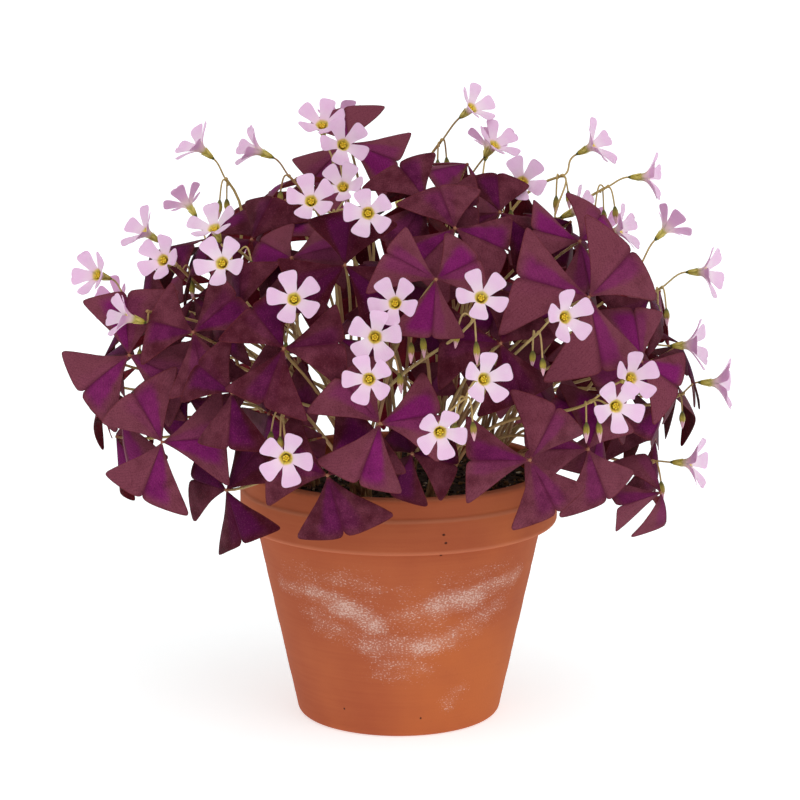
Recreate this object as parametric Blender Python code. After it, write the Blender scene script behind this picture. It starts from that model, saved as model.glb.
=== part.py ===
"""Potted purple shamrock: a clay pot of soil, and twelve crowns of three-part leaves and pink bloom sprays.

Metres, +Z up. The origin is the centre of the pot's underside and the front looks along -Y.
"""

import math
import random
from itertools import combinations

import bmesh
import bpy
from mathutils import Matrix, Vector
from mathutils.bvhtree import BVHTree

MM = 0.001
UP = Vector((0, 0, 1))

# Clay pot
RIM_RADIUS = 75 * MM
RIM_FOOT = 94 * MM
RIM_RIDGE = 109.5 * MM
POT_HEIGHT = 120 * MM
NECK_RADIUS = 68 * MM
FOOT_RADIUS = 47.8 * MM
FOOT_ROUNDING = 2.5 * MM
WALL = 6 * MM
LIP_STEP = 1.2 * MM
FLOOR_THICKNESS = 8 * MM
DRAIN_RADIUS = 7 * MM
POT_SIDES = 32

# Soil
SOIL_LEVEL = 112 * MM
SOIL_CROWNING = 3 * MM
CLEARANCE = 0.3 * MM
SOIL_SIDES = 20

# Crowns: the corms that the leaves and sprays grow from
CORM_RADIUS = 7 * MM
CORM_LENGTH = 15 * MM
CORM_RISE = 1.5 * MM
CORM_SIDES = 7
CROWN_STALKS = 13
INNER_CROWNS = 4
INNER_CROWN_RING = 20 * MM
OUTER_CROWNS = 8
OUTER_CROWN_RING = 45 * MM

# Canopy: the dome that the leaves lie on
DOME_CENTRE = Vector((0, 0, 165 * MM))
DOME_RADII = Vector((140 * MM, 132 * MM, 100 * MM))

# Leaves: shares are of a leaflet's length, and angles are in degrees
BLADE_THICKNESS = 0.75 * MM
CORNER_SPREAD = math.radians(40)
BULGE_REACH = 0.81
BULGE_HALF_WIDTH = 0.22
NOTCH_REACH = (0.69, 0.77)
LEAF_FOLD = (12, 28)
LEAF_DROOP = (6, 20)
FURLED_FOLD = 28
FURLED_DROOP = 30
HUB_RADIUS = 1.3 * MM
PETIOLE_RADIUS = 0.75 * MM
PETIOLE_STEPS = 3

# Blooms, buds and their stalks
PETAL_THICKNESS = 0.62 * MM
PETAL_REACH = 0.95
PETAL_HALF_WIDTH = 0.27
CALYX_RADIUS = 1.3 * MM
CALYX_LENGTH = 3.5 * MM
THROAT_LENGTH = 5.5 * MM
FORK_DEPTH = 19 * MM
SCAPE_RADIUS = 0.9 * MM
PEDICEL_RADIUS = 0.5 * MM
BUD_RADIUS = 1.4 * MM
SCAPE_STEPS = 3
STALK_SIDES = 3

# How far apart neighbouring pieces stay
GUARD = 0.45 * MM
FOOT_SHARE = 0.1

# The leaves and blooms that face the front have their places in a view of the plant from a little above.
# A place is (pixels across, pixels down) in a square 800 pixels wide, seen from this far away and this high.
VIEW_CENTRE = 400
VIEW_FOCAL = 3000
VIEW_DISTANCE = 1.4125
VIEW_RISE = math.radians(11.7)
VIEW_AIM = Vector((0.6 * MM, 0, 150.6 * MM))

# Front leaves: place of the hub, turn of the first leaflet in degrees, length of a leaflet in mm,
# depth behind the dome in mm, and how far the face leans aside and up in degrees. The sprays find their way
# round the first few, which stand furthest out, and the other leaves find theirs round the sprays.
FRONT_LEAVES = (
    (129, 355, 215, 37, -10, 20, -5),
    (162, 442, 5, 35, -6, 10, 0),
    (589, 297, 45, 42, -8, 0, -8),
    (509, 335, 60, 34, 12, 0, 0),
    (349, 143, 339, 32, 20, 0, 0),
    (374, 421, 6, 36, -6, 0, 0),
    (327, 476, 43, 37, -4, 0, 0),
    (530, 460, 60, 34, -3, 0, 0),
    (446, 283, 40, 34, -4, 0, 0),
    (288, 347, 10, 34, -3, 0, 0),
    (234, 398, 23, 32, 3, 0, 0),
    (300, 430, 95, 25, 34, 0, 0),
    (247, 455, 18, 34, 0, 0, 0),
    (608, 458, 65, 35, -2, 0, 0),
    (560, 375, 80, 28, 24, 0, 0),
    (455, 362, 110, 28, 26, 0, 0),
    (410, 463, 350, 32, 6, 0, 0),
    (684, 450, 60, 32, -8, 15, 0),
    (606, 312, 305, 34, 6, 0, 0),
    (455, 228, 105, 33, 0, 0, 0),
    (290, 232, 25, 32, 2, 0, 0),
    (240, 225, 70, 31, 4, 0, 0),
    (640, 360, 335, 31, 12, 0, 0),
    (650, 300, 350, 28, 14, 20, 0),
    (425, 200, 0, 31, 4, 0, 0),
    (193, 332, 40, 32, 3, 0, 0),
    (180, 400, 90, 28, 22, 0, 0),
    (500, 212, 90, 28, 10, 0, 0),
    (578, 248, 45, 30, 8, 0, 0),
    (345, 265, 85, 33, 5, 0, 0),
    (338, 345, 90, 26, 34, 0, 0),
    (630, 432, 25, 32, 8, 0, 0),
    (225, 290, 95, 32, 3, 0, 0),
    (395, 262, 20, 31, 3, 0, 0),
    (520, 270, 20, 31, 8, 0, 0),
    (680, 390, 10, 30, 8, 20, 0),
)

# Front sprays: place of the joint where the flower stalks part, the number of its buds, then each bloom as
# its place, the way it faces (degrees aside, degrees up) and its distance in front of the dome in mm
FRONT_SPRAYS = (
    ((150, 312), 1, (((128, 318), (-68, 18), 26),)),
    ((538, 333), 2, (((565, 317), (28, 12), 12),)),
    ((652, 462), 1, (((690, 463), (70, 2), 14),)),
    ((128, 303), 1, (((97, 275), (-42, 18), 12),)),
    ((180, 268), 1, (((145, 232), (-65, 35), -3), ((163, 260), (-25, 22), 13))),
    ((227, 180), 2, (((199, 147), (-72, 40), 4),)),
    ((238, 250), 1, (((222, 263), (-15, 24), 18), ((214, 228), (-30, 55), 2))),
    ((290, 177), 2, (((256, 150), (-78, 25), 6),)),
    ((333, 160), 1, (((322, 124), (-5, 48), -5), ((343, 144), (15, 24), 11))),
    ((335, 215), 1, (((311, 201), (0, 28), 16), ((343, 187), (-6, 34), 1), ((368, 213), (0, 8), 18))),
    ((296, 320), 1, (((294, 299), (2, 22), 12),)),
    ((413, 320), 2, (((395, 303), (-12, 22), 10),)),
    ((384, 356), 1, (((375, 337), (0, 12), 7), ((369, 379), (-8, 8), 16))),
    ((283, 415), 2, (((286, 458), (0, 2), 14),)),
    ((472, 323), 2, (((478, 303), (6, 30), 10),)),
    ((466, 398), 2, (((484, 379), (22, 14), 10), ((440, 432), (8, 0), 14))),
    ((441, 141), 2, (((472, 108), (50, 35), -2),)),
    ((463, 188), 1, (((495, 145), (50, 45), 2),)),
    ((507, 196), 2, (((522, 182), (4, 24), 8),)),
    ((561, 176), 2, (((593, 146), (70, 28), -4), ((578, 210), (72, 25), 0))),
    ((607, 187), 3, (((648, 177), (78, 2), 0),)),
    ((588, 252), 1, (((620, 230), (74, 20), 4),)),
    ((661, 288), 2, (((705, 272), (68, 4), 2),)),
    ((648, 345), 1, (((690, 345), (75, 5), 4),)),
    ((682, 394), 1, (((718, 383), (80, 0), 4),)),
    ((590, 402), 2, (((631, 378), (28, 20), 5), ((616, 406), (16, 8), 19))),
)

# Back sprays, one bloom each: turn from the right hand side in degrees and height as a share of the dome's
BACK_SPRAYS = (
    (148, 0.05),
    (136, 0.42),
    (122, 0.2),
    (107, 0.78),
    (90, 0.4),
    (68, 0.66),
    (48, 0.3),
    (30, 0.35),
)
BACK_REACH = 26 * MM

# The rest are set by rule
SEED = 20
FOREMOST_LEAVES = 5

# How the front leaves and the others face: the pull of the face to the front against its way out of the dome,
# its least slope up in degrees, and the share of the dome's slope there that is added to it
FRONT_POSE = (0.8, 15, 0.3)
BACK_POSE = (0, 24, 0.45)

FRONT_TRIES = 700
BACK_TRIES = 150
LEAF_PLACES = 76
DOME_TOP = 0.97
DOME_SPAN = 1.4
LEAF_SIZES = (30 * MM, 36 * MM)
HUB_SPACING = 25 * MM
BLOOM_RADIUS = 13 * MM

# Multiples of these two, less their whole parts, fill a square evenly
EVEN_HEIGHTS = 0.7548776662
EVEN_TURNS = 0.5698402910


def sight(place):
    """The eye, and the direction in which it sees this place of the front view."""
    across = (place[0] - VIEW_CENTRE) / VIEW_FOCAL
    down = (place[1] - VIEW_CENTRE) / VIEW_FOCAL
    ahead = Vector((0, math.cos(VIEW_RISE), -math.sin(VIEW_RISE)))
    above = Vector((0, math.sin(VIEW_RISE), math.cos(VIEW_RISE)))
    return VIEW_AIM - ahead * VIEW_DISTANCE, (ahead + Vector((1, 0, 0)) * across - above * down).normalized()


def seen_beside(place, point):
    """The point that shows at this place of the front view and is nearest to another point."""
    eye, ray = sight(place)
    return eye + ray * ray.dot(point - eye)


def seen_at(place, depth):
    """The point on the dome that shows at this place of the front view, moved this far behind the dome."""
    eye, ray = sight(place)
    start = Vector([(eye[i] - DOME_CENTRE[i]) / DOME_RADII[i] for i in range(3)])
    step = Vector([ray[i] / DOME_RADII[i] for i in range(3)])
    middle = -start.dot(step) / step.length_squared
    inside = middle * middle - (start.length_squared - 1) / step.length_squared
    return eye + ray * (middle - math.sqrt(max(inside, 0)) + depth)


def on_dome(turn, height):
    """The point of the dome at a turn from the right in degrees and a height as a share of the dome's."""
    flat = math.sqrt(1 - height * height)
    way = Vector((math.cos(math.radians(turn)) * flat, math.sin(math.radians(turn)) * flat, height))
    return DOME_CENTRE + Vector([way[k] * DOME_RADII[k] for k in range(3)])


def outward(point):
    """The way out of the dome at a point."""
    offset = point - DOME_CENTRE
    return Vector([offset[i] / DOME_RADII[i] ** 2 for i in range(3)]).normalized()


def facing(aside, up):
    """A direction: 0, 0 is towards the front, aside turns it to the right and up raises it, in degrees."""
    aside = math.radians(aside)
    up = math.radians(up)
    return Vector((math.sin(aside) * math.cos(up), -math.cos(aside) * math.cos(up), math.sin(up)))


def bezier(ends, count):
    """Points along the cubic curve with these four control points."""
    a, b, c, d = ends
    points = []
    for i in range(count + 1):
        t = i / count
        u = 1 - t
        points.append(a * u**3 + b * (3 * u * u * t) + c * (3 * u * t * t) + d * t**3)
    return points


def without_foot(points, share):
    """The path of points less this share of it at its start."""
    cut = share * (len(points) - 1)
    first = int(cut)
    return [points[first].lerp(points[first + 1], cut - first)] + points[first + 1:]


def cross_frames(points):
    """A side direction for each point of a path, carried along it without twist."""
    frames = []
    tangent = (points[1] - points[0]).normalized()
    side = tangent.orthogonal().normalized()
    for i, point in enumerate(points):
        before = (point - points[i - 1]).normalized() if i else Vector()
        after = (points[i + 1] - point).normalized() if i + 1 < len(points) else Vector()
        tangent = (before + after).normalized()
        side = (side - tangent * side.dot(tangent)).normalized()
        frames.append((point, tangent, side))
    return frames


def tube(points, radii, sides):
    """Vertices and faces of a closed tube along the points. A last radius of 0 ends it in a point."""
    verts, faces = [], []
    pointed = radii[-1] == 0
    for (point, tangent, side), radius in zip(cross_frames(points), radii):
        if radius == 0:
            verts.append(point)
            break
        other = tangent.cross(side)
        for k in range(sides):
            angle = 2 * math.pi * k / sides
            verts.append(point + side * (radius * math.cos(angle)) + other * (radius * math.sin(angle)))
    rings = len(points) - pointed
    for ring in range(rings - 1):
        for k in range(sides):
            a = ring * sides + k
            b = ring * sides + (k + 1) % sides
            faces.append((a, b, b + sides, a + sides))
    faces.append(tuple(reversed(range(sides))))
    last = (rings - 1) * sides
    if pointed:
        for k in range(sides):
            faces.append((last + k, last + (k + 1) % sides, rings * sides))
    else:
        faces.append(tuple(range(last, last + sides)))
    return verts, faces


class Leaf:
    """One leaf: three folded leaflets on a hub, held up by a petiole from a crown."""

    def __init__(self, hub, normal, turn, size, crown, slot, bow, furl, seed):
        chance = random.Random(seed)
        self.hub, self.normal, self.size, self.crown, self.seed = hub, normal, size, crown, seed
        self.fold = math.radians(chance.uniform(*LEAF_FOLD) + FURLED_FOLD * furl)
        self.droop = math.radians(chance.uniform(*LEAF_DROOP) + FURLED_DROOP * furl)
        self.notch = chance.uniform(*NOTCH_REACH)
        self.frames = [self.axes(math.radians(turn + 120 * k)) for k in range(3)]
        start = socket_of(crown, slot)
        away = Vector((hub.x - start.x, hub.y - start.y, 0))
        heading = away.normalized() if away.length > 1e-6 else Vector((1, 0, 0))
        length = (hub - start).length
        end = hub - normal * BLADE_THICKNESS
        sideways = heading.cross(UP) * (bow * length)
        self.petiole = (
            start,
            start + UP * (0.5 * length) + heading * (0.08 * length) + sideways,
            end - normal * (0.3 * length) + sideways * 0.5,
            end,
        )

    def axes(self, angle):
        """Directions of the leaflet at this angle: along its midrib, across it, and out of its face."""
        seen_right = Vector((1, 0, 0))
        level = (seen_right - self.normal * seen_right.dot(self.normal)).normalized()
        lift = self.normal.cross(level)
        flat = level * math.cos(angle) + lift * math.sin(angle)
        along = flat * math.cos(self.droop) - self.normal * math.sin(self.droop)
        across = self.normal.cross(flat)
        return along, across, across.cross(-along).normalized()

    def point(self, k, reach, half_width):
        """A point of folded leaflet k, as shares of its size along the midrib and to one side of it."""
        along, across, out = self.frames[k]
        side = across * (half_width * math.cos(self.fold)) - out * (abs(half_width) * math.sin(self.fold))
        return self.hub + (along * reach + side) * self.size

    def mesh(self, thickness=BLADE_THICKNESS, petiole_radius=PETIOLE_RADIUS, left_off=0):
        """The leaf as one closed mesh, less this share of its petiole's foot."""
        corner_reach = math.cos(CORNER_SPREAD)
        corner_width = math.sin(CORNER_SPREAD)
        shape = ((corner_reach, corner_width), (BULGE_REACH, BULGE_HALF_WIDTH))
        outline = []
        for k in range(3):
            along, across, _ = self.frames[k]
            gap = (along * 0.5 - across * math.cos(math.radians(30))) * HUB_RADIUS
            outline.append(self.hub + gap)
            outline += [self.point(k, reach, -width) for reach, width in shape]
            outline.append(self.point(k, self.notch, 0))
            outline += [self.point(k, reach, width) for reach, width in reversed(shape)]
        count = len(outline)
        each = count // 3
        drop = self.normal * thickness
        verts = outline + [p - drop for p in outline] + [self.hub + self.normal * (0.2 * MM)]
        centre = 2 * count
        faces = []
        for i in range(count):
            j = (i + 1) % count
            faces.append((centre, i, j))
            faces.append((i, i + count, j + count))
            faces.append((i, j + count, j))
        for k in range(3):
            gap, out_a, out_b, notch, in_b, in_a = (count + k * each + i for i in range(each))
            next_gap = count + (k + 1) % 3 * each
            faces += [(gap, out_b, out_a), (gap, notch, out_b), (gap, next_gap, notch)]
            faces += [(next_gap, in_b, notch), (next_gap, in_a, in_b)]
        ring = [count + k * each for k in range(3)]
        steps = without_foot(bezier(self.petiole, PETIOLE_STEPS), left_off)
        frames = cross_frames([self.hub - drop] + list(reversed(steps[:-1])))
        spokes = [verts[i] - (self.hub - drop) for i in ring]
        for n, (point, tangent, _) in enumerate(frames[1:]):
            turned = []
            for spoke in spokes:
                spoke = spoke - tangent * spoke.dot(tangent)
                turned.append(spoke.normalized())
            spokes = turned
            base = len(verts)
            verts += [point + spoke * petiole_radius for spoke in spokes]
            for k in range(3):
                a, b = ring[k], ring[(k + 1) % 3]
                c, d = base + k, base + (k + 1) % 3
                faces += [(a, c, d), (a, d, b)]
            ring = [base + k for k in range(3)]
        faces.append(tuple(reversed(ring)))
        return verts, faces


class Bloom:
    """One open flower: its place is the mouth of its throat, and it faces along its axis."""

    def __init__(self, mouth, axis, joint, heading, size, turn, rise):
        self.mouth, self.axis, self.size, self.turn = mouth, axis.normalized(), size, turn
        self.rise = math.radians(rise)
        self.seat = mouth - self.axis * THROAT_LENGTH
        base = self.seat - self.axis * CALYX_LENGTH
        length = (base - joint).length
        self.pedicel = (
            joint,
            joint + heading * (0.35 * length),
            base - self.axis * (0.35 * length),
            base,
        )

    def axes(self, k):
        """Directions of petal k: out from the axis, and across the petal."""
        level = self.axis.orthogonal().normalized()
        other = self.axis.cross(level)
        angle = self.turn + math.radians(72 * k)
        out = level * math.cos(angle) + other * math.sin(angle)
        return out, self.axis.cross(out)

    def at(self, k, out, across):
        """A point of petal k, measured from the mouth as shares of the bloom's size."""
        away, sideways = self.axes(k)
        along = away * math.cos(self.rise) + self.axis * math.sin(self.rise)
        narrowed = across * (0.35 + 0.65 * math.cos(self.rise))
        return self.mouth + (away * 0.15 + along * (out - 0.15) + sideways * narrowed) * self.size

    def mesh(self, thickness=PETAL_THICKNESS):
        """The five petals and their tube as one closed mesh."""
        shape = ((PETAL_REACH, -PETAL_HALF_WIDTH), (PETAL_REACH, PETAL_HALF_WIDTH))
        verts, faces = [], []
        inner, outer = [], []
        for k in range(5):
            away, sideways = self.axes(k + 0.5)
            inner.append(len(verts))
            verts.append(self.mouth + (away * 0.17) * self.size)
            verts += [self.at(k + 1, *p) for p in shape]
        count = len(verts)
        for i in range(count):
            if i % 3 == 0:
                away, _ = self.axes(i // 3 + 0.5)
                verts.append(verts[i] - self.axis * (thickness * 0.6) + away * thickness)
            else:
                away, _ = self.axes(i // 3 + 1)
                back = away * math.sin(self.rise) - self.axis * math.cos(self.rise)
                verts.append(verts[i] + back * thickness)
        throat = len(verts)
        verts.append(self.seat + self.axis * (2.5 * MM))
        base = len(verts)
        for k in range(5):
            away, _ = self.axes(k + 0.5)
            verts.append(self.seat + self.axis * CLEARANCE + away * CALYX_RADIUS)
        for k in range(5):
            i = 3 * k
            j = 3 * ((k + 1) % 5)
            faces += [(throat, i, j), (i, i + 1, i + 2), (i, i + 2, j)]
            a, b = i + count, j + count
            faces += [(a, a + 2, a + 1), (a, b, a + 2)]
            faces += [(base + k, b, a), (base + k, base + (k + 1) % 5, b)]
            edge = [i, i + 1, i + 2, j]
            for p, q in zip(edge, edge[1:]):
                faces += [(p, q + count, q), (p, p + count, q + count)]
        faces.append(tuple(reversed(range(base, base + 5))))
        return verts, faces


class Spray:
    """A scape from a crown to the joint, and from there blooms and hanging buds on thin stalks."""

    def __init__(self, joint, blooms, bud_count, crown, slot, bow, lean, seed):
        chance = random.Random(seed)
        self.joint, self.crown = joint, crown
        start = socket_of(crown, slot)
        away = Vector((joint.x - start.x, joint.y - start.y, 0))
        heading = away.normalized() if away.length > 1e-6 else Vector((1, 0, 0))
        length = (joint - start).length
        sideways = heading.cross(UP) * (bow * length)
        mouths = sum((mouth for mouth, _ in blooms), Vector()) / len(blooms)
        self.heading = ((mouths - joint).normalized() + UP * 0.4 + heading * 0.3).normalized()
        self.scape = (
            start,
            start + UP * (0.55 * length) + heading * (lean * length) + sideways,
            joint - self.heading * (0.3 * length) + sideways * 0.4,
            joint,
        )
        below = (bezier(self.scape, SCAPE_STEPS)[-2] - joint).normalized()
        self.blooms = [
            Bloom(
                mouth,
                axis,
                joint + below * (0.6 * MM),
                self.heading,
                BLOOM_RADIUS * chance.uniform(0.95, 1.08),
                chance.uniform(0, 6),
                chance.uniform(30, 42),
            )
            for mouth, axis in blooms
        ]
        self.buds = []
        first = chance.uniform(0, 2 * math.pi)
        for k in range(bud_count):
            angle = first + 2 * math.pi * (k + chance.uniform(-0.15, 0.15)) / bud_count
            flat = Vector((math.cos(angle), math.sin(angle), 0))
            flat = (flat + outward(joint) * 0.5).normalized()
            reach = chance.uniform(4, 7) * MM
            drop = chance.uniform(6, 11) * MM
            fork = joint + below * ((1.3 * k + 1.5) * MM)
            top = fork + flat * (0.75 * reach) + UP * (1 * MM)
            neck = fork + flat * (1.1 * reach) - UP * drop
            tip = neck + flat * (1 * MM) - UP * (chance.uniform(7.5, 10) * MM)
            self.buds.append((fork, top, neck, neck.lerp(tip, 0.35), tip))

    def stalks(self, grow=0.0, left_off=0):
        """The scape, flower stalks with their calyces, and buds, each as one closed mesh."""
        path = without_foot(bezier(self.scape, SCAPE_STEPS), left_off)
        radii = [SCAPE_RADIUS * (1 - 0.06 * i) + grow for i in range(len(path))]
        made = [tube(path, radii, STALK_SIDES)]
        for bloom in self.blooms:
            path = bezier(bloom.pedicel, 2) + [bloom.seat]
            radii = [PEDICEL_RADIUS + grow] * 2 + [PEDICEL_RADIUS * 1.2 + grow, CALYX_RADIUS + grow]
            made.append(tube(path, radii, STALK_SIDES))
        for bud in self.buds:
            radii = [PEDICEL_RADIUS + grow, PEDICEL_RADIUS + grow, PEDICEL_RADIUS * 1.4 + grow]
            made.append(tube(bud, radii + [BUD_RADIUS + grow, 0], STALK_SIDES))
        return made


def crown_places():
    """The middles of the corms: a ring of outer ones round a few inner ones."""
    places = []
    for count, ring, offset in ((OUTER_CROWNS, OUTER_CROWN_RING, 0.5), (INNER_CROWNS, INNER_CROWN_RING, 0.1)):
        for i in range(count):
            angle = 2 * math.pi * (i + offset) / count
            places.append(Vector((ring * math.cos(angle), ring * math.sin(angle), 0)))
    return places


CROWNS = crown_places()


def soil_height(radius):
    """Height of the soil's surface, which rises a little towards the middle."""
    return SOIL_LEVEL + SOIL_CROWNING * (1 - (radius / (RIM_RADIUS - WALL)) ** 2)


def crown_top(crown):
    place = CROWNS[crown]
    return Vector((place.x, place.y, soil_height(place.length) + CORM_RISE))


def socket_of(crown, slot):
    """Where the stalk of this number starts inside the corm. The stalks are spread evenly over its top."""
    turn = slot * math.pi * (3 - math.sqrt(5))
    reach = 0.82 * CORM_RADIUS * math.sqrt((slot % CROWN_STALKS + 0.5) / CROWN_STALKS)
    return crown_top(crown) + Vector((math.cos(turn) * reach, math.sin(turn) * reach, -2.5 * MM))


class Room:
    """What is placed already, and whether something new would touch it."""

    def __init__(self):
        self.taken = []
        self.stalks = [0] * len(CROWNS)

    def crowns_for(self, point):
        """The crowns, from the one that a stalk to this point would grow from, with fuller ones later."""
        flat = Vector((point.x, point.y, 0)) * 0.42
        return sorted(range(len(CROWNS)), key=lambda i: (CROWNS[i] - flat).length + self.stalks[i] * MM)

    @staticmethod
    def tree(meshes):
        if len(meshes) == 1:
            return BVHTree.FromPolygons(*meshes[0])
        verts, faces = [], []
        for v, f in meshes:
            start = len(verts)
            verts += v
            faces += [tuple(start + i for i in face) for face in f]
        return BVHTree.FromPolygons(verts, faces)

    def add(self, crown, guards):
        self.taken.append((crown, [self.tree(guard) for guard in guards]))
        if crown is not None:
            self.stalks[crown] += 1

    def is_clear(self, crown, guards, crossing):
        """In one crown the feet of stalks may meet, and where crossing is allowed stalks may join."""
        whole, upper, blade = [self.tree(guard) for guard in guards]
        for i, (other, (other_whole, other_upper, other_blade)) in enumerate(self.taken):
            if other != crown:
                touching = whole.overlap(other_whole)
            elif crossing:
                touching = blade.overlap(other_whole) or other_blade.overlap(whole)
            else:
                touching = upper.overlap(other_upper)
            if touching:
                # What is in the way now is likely to be in the way of the next try
                self.taken.insert(0, self.taken.pop(i))
                return False
        return True


def leaf_guards(leaf):
    """The leaf a little thicker than it is: whole, without its foot, and without most of its petiole."""
    thick = BLADE_THICKNESS + GUARD
    moved = Leaf.__new__(Leaf)
    moved.__dict__.update(leaf.__dict__)
    moved.hub = leaf.hub + leaf.normal * (GUARD / 2)
    radius = PETIOLE_RADIUS + GUARD
    return [[moved.mesh(thick, radius, left_off)] for left_off in (0, FOOT_SHARE, 0.75)]


def spray_guards(spray):
    """The stalks of a spray a little thicker: whole, without the scape's foot, and without the scape."""
    stalks = spray.stalks(GUARD)
    return stalks, spray.stalks(GUARD, FOOT_SHARE), stalks[1:]


def leaf_normal(point, pose, lean_aside, lean_up):
    """The way the face of a leaf looks from its point of the dome, in its pose and leant by these degrees."""
    out = outward(point)
    pull, least, share = pose
    level = math.atan2(out.x, pull - out.y) + math.radians(lean_aside)
    slope = math.radians(least + lean_up) + share * math.asin(out.z)
    return Vector((math.sin(level) * math.cos(slope), -math.cos(level) * math.cos(slope), math.sin(slope)))


def settle_leaf(room, place, pose, aside, up, turn, size, seed, tries):
    """Turns and shifts a leaf a little, from its wanted place, until it is clear of what is there."""
    chance = random.Random(seed)
    for n in range(tries):
        loose = n / tries
        shift = outward(place) * (chance.uniform(-40, 9) * MM * loose)
        strayed = [chance.uniform(-1, 1) for _ in range(3)]
        hub = place + shift + Vector(strayed) * (9 * MM * loose)
        wander = 25 * loose
        leans = aside + chance.uniform(-wander, wander), up + chance.uniform(-wander, wander)
        normal = leaf_normal(hub, pose, *leans)
        turned = turn + chance.uniform(-18, 18) * loose
        crown = room.crowns_for(hub)[int(chance.uniform(0, 3.99) * loose)]
        bow = chance.uniform(-0.3, 0.3) * loose
        furl = chance.uniform(0, 1) * loose
        shrink = 1 - 0.2 * chance.uniform(0, loose)
        slot = room.stalks[crown]
        leaf = Leaf(hub, normal, turned, size * shrink, crown, slot, bow, furl, chance.randrange(10**6))
        guards = leaf_guards(leaf)
        if room.is_clear(crown, guards, loose > 0.7):
            room.add(crown, guards)
            return leaf
    return None


def settle_spray(room, joint, blooms, bud_count, seed, tries):
    """Bends a flower stalk through the leaves, moving it outwards where it finds no way."""
    chance = random.Random(seed)
    for n in range(tries):
        loose = n / tries
        shift = outward(joint) * (chance.uniform(-3, 16) * MM * loose)
        moved = [(mouth + shift, axis) for mouth, axis in blooms]
        crown = room.crowns_for(joint)[int(chance.uniform(0, 5.99) * loose)]
        bow = chance.uniform(-0.5, 0.5) * loose
        lean = chance.uniform(-0.1, 0.6)
        slot = room.stalks[crown]
        spray = Spray(joint + shift, moved, bud_count, crown, slot, bow, lean, chance.randrange(10**6))
        guards = spray_guards(spray)
        petals = [[bloom.mesh(PETAL_THICKNESS + GUARD) for bloom in spray.blooms]] * 3
        pairs = combinations([room.tree([mesh]) for mesh in petals[0]], 2)
        if any(one.overlap(other) for one, other in pairs):
            continue
        if room.is_clear(crown, guards, loose > 0.7) and room.is_clear(None, petals, False):
            room.add(crown, guards)
            room.add(None, petals)
            return spray
    return None


def settle_front(room, rows):
    """The leaves of these rows of FRONT_LEAVES, each near its place."""
    leaves = []
    for across, down, turn, size, depth, aside, up in rows:
        place = seen_at((across, down), depth * MM)
        leaf = settle_leaf(room, place, FRONT_POSE, aside, up, turn, size * MM, SEED + across, FRONT_TRIES)
        leaves += [leaf] if leaf else []
    return leaves


def lay_out():
    """Every leaf and spray: the ones seen in front at their places, then the rest round the dome by rule."""
    room = Room()
    room.add(None, [[pot_mesh(GUARD)]] * 3)
    leaves = settle_front(room, FRONT_LEAVES[:FOREMOST_LEAVES])
    sprays = []
    for fork, bud_count, seen in FRONT_SPRAYS:
        blooms = [(seen_at(place, -distance * MM), facing(*way)) for place, way, distance in seen]
        behind = sum((mouth - axis * FORK_DEPTH for mouth, axis in blooms), Vector()) / len(blooms)
        joint = seen_beside(fork, behind)
        sprays.append(settle_spray(room, joint, blooms, bud_count, SEED + fork[0], FRONT_TRIES))
    leaves += settle_front(room, FRONT_LEAVES[FOREMOST_LEAVES:])
    for turn, height in BACK_SPRAYS:
        joint = on_dome(turn, height)
        out = (outward(joint) + UP * 0.2).normalized()
        mouth = joint + out * BACK_REACH + UP * (6 * MM)
        sprays.append(settle_spray(room, joint + out * (6 * MM), [(mouth, out)], 1, SEED + turn, FRONT_TRIES))
    for n in range(LEAF_PLACES):
        height = DOME_TOP - DOME_SPAN * (n * EVEN_HEIGHTS % 1)
        place = on_dome(math.degrees(2 * math.pi * (n * EVEN_TURNS % 1)), height)
        if min((leaf.hub - place).length for leaf in leaves) < HUB_SPACING:
            continue
        chance = random.Random(SEED + n)
        turn, size = chance.uniform(0, 120), chance.uniform(*LEAF_SIZES)
        leaf = settle_leaf(room, place, BACK_POSE, 0, 0, turn, size, SEED + n, BACK_TRIES)
        leaves += [leaf] if leaf else []
    return leaves, [spray for spray in sprays if spray]


def pot_profile(grow=0.0):
    """Half the pot's outline as (radius, height), from the drain hole's lower edge out and back inside."""
    inner_foot = FOOT_RADIUS - WALL
    inner_top = RIM_RADIUS - LIP_STEP - WALL
    return [
        (DRAIN_RADIUS, 0),
        (FOOT_RADIUS - FOOT_ROUNDING, 0),
        (FOOT_RADIUS, FOOT_ROUNDING),
        (NECK_RADIUS, RIM_FOOT),
        (RIM_RADIUS - 1 * MM + grow, RIM_FOOT - grow),
        (RIM_RADIUS + grow, RIM_FOOT + 1.5 * MM),
        (RIM_RADIUS + grow, RIM_RIDGE),
        (RIM_RADIUS - LIP_STEP + grow, RIM_RIDGE + 1 * MM),
        (RIM_RADIUS - LIP_STEP - 0.5 * MM + grow, POT_HEIGHT - 2 * MM),
        (RIM_RADIUS - LIP_STEP - WALL * 0.5, POT_HEIGHT + grow),
        (inner_top, POT_HEIGHT - 2 * MM),
        (inner_top - 1 * MM, RIM_FOOT),
        (inner_foot, FLOOR_THICKNESS),
        (DRAIN_RADIUS, FLOOR_THICKNESS),
    ]


def turned(profile, sides):
    """Vertices and faces of a profile turned round the pot's axis into a closed ring."""
    verts, faces = [], []
    for radius, height in profile:
        for k in range(sides):
            angle = 2 * math.pi * k / sides
            verts.append(Vector((radius * math.cos(angle), radius * math.sin(angle), height)))
    count = len(profile)
    for ring in range(count):
        for k in range(sides):
            a = ring * sides + k
            b = ring * sides + (k + 1) % sides
            shift = ((ring + 1) % count - ring) * sides
            faces.append((a, b, b + shift, a + shift))
    return verts, faces


def pot_mesh(grow=0.0):
    return turned(pot_profile(grow), POT_SIDES)


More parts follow.
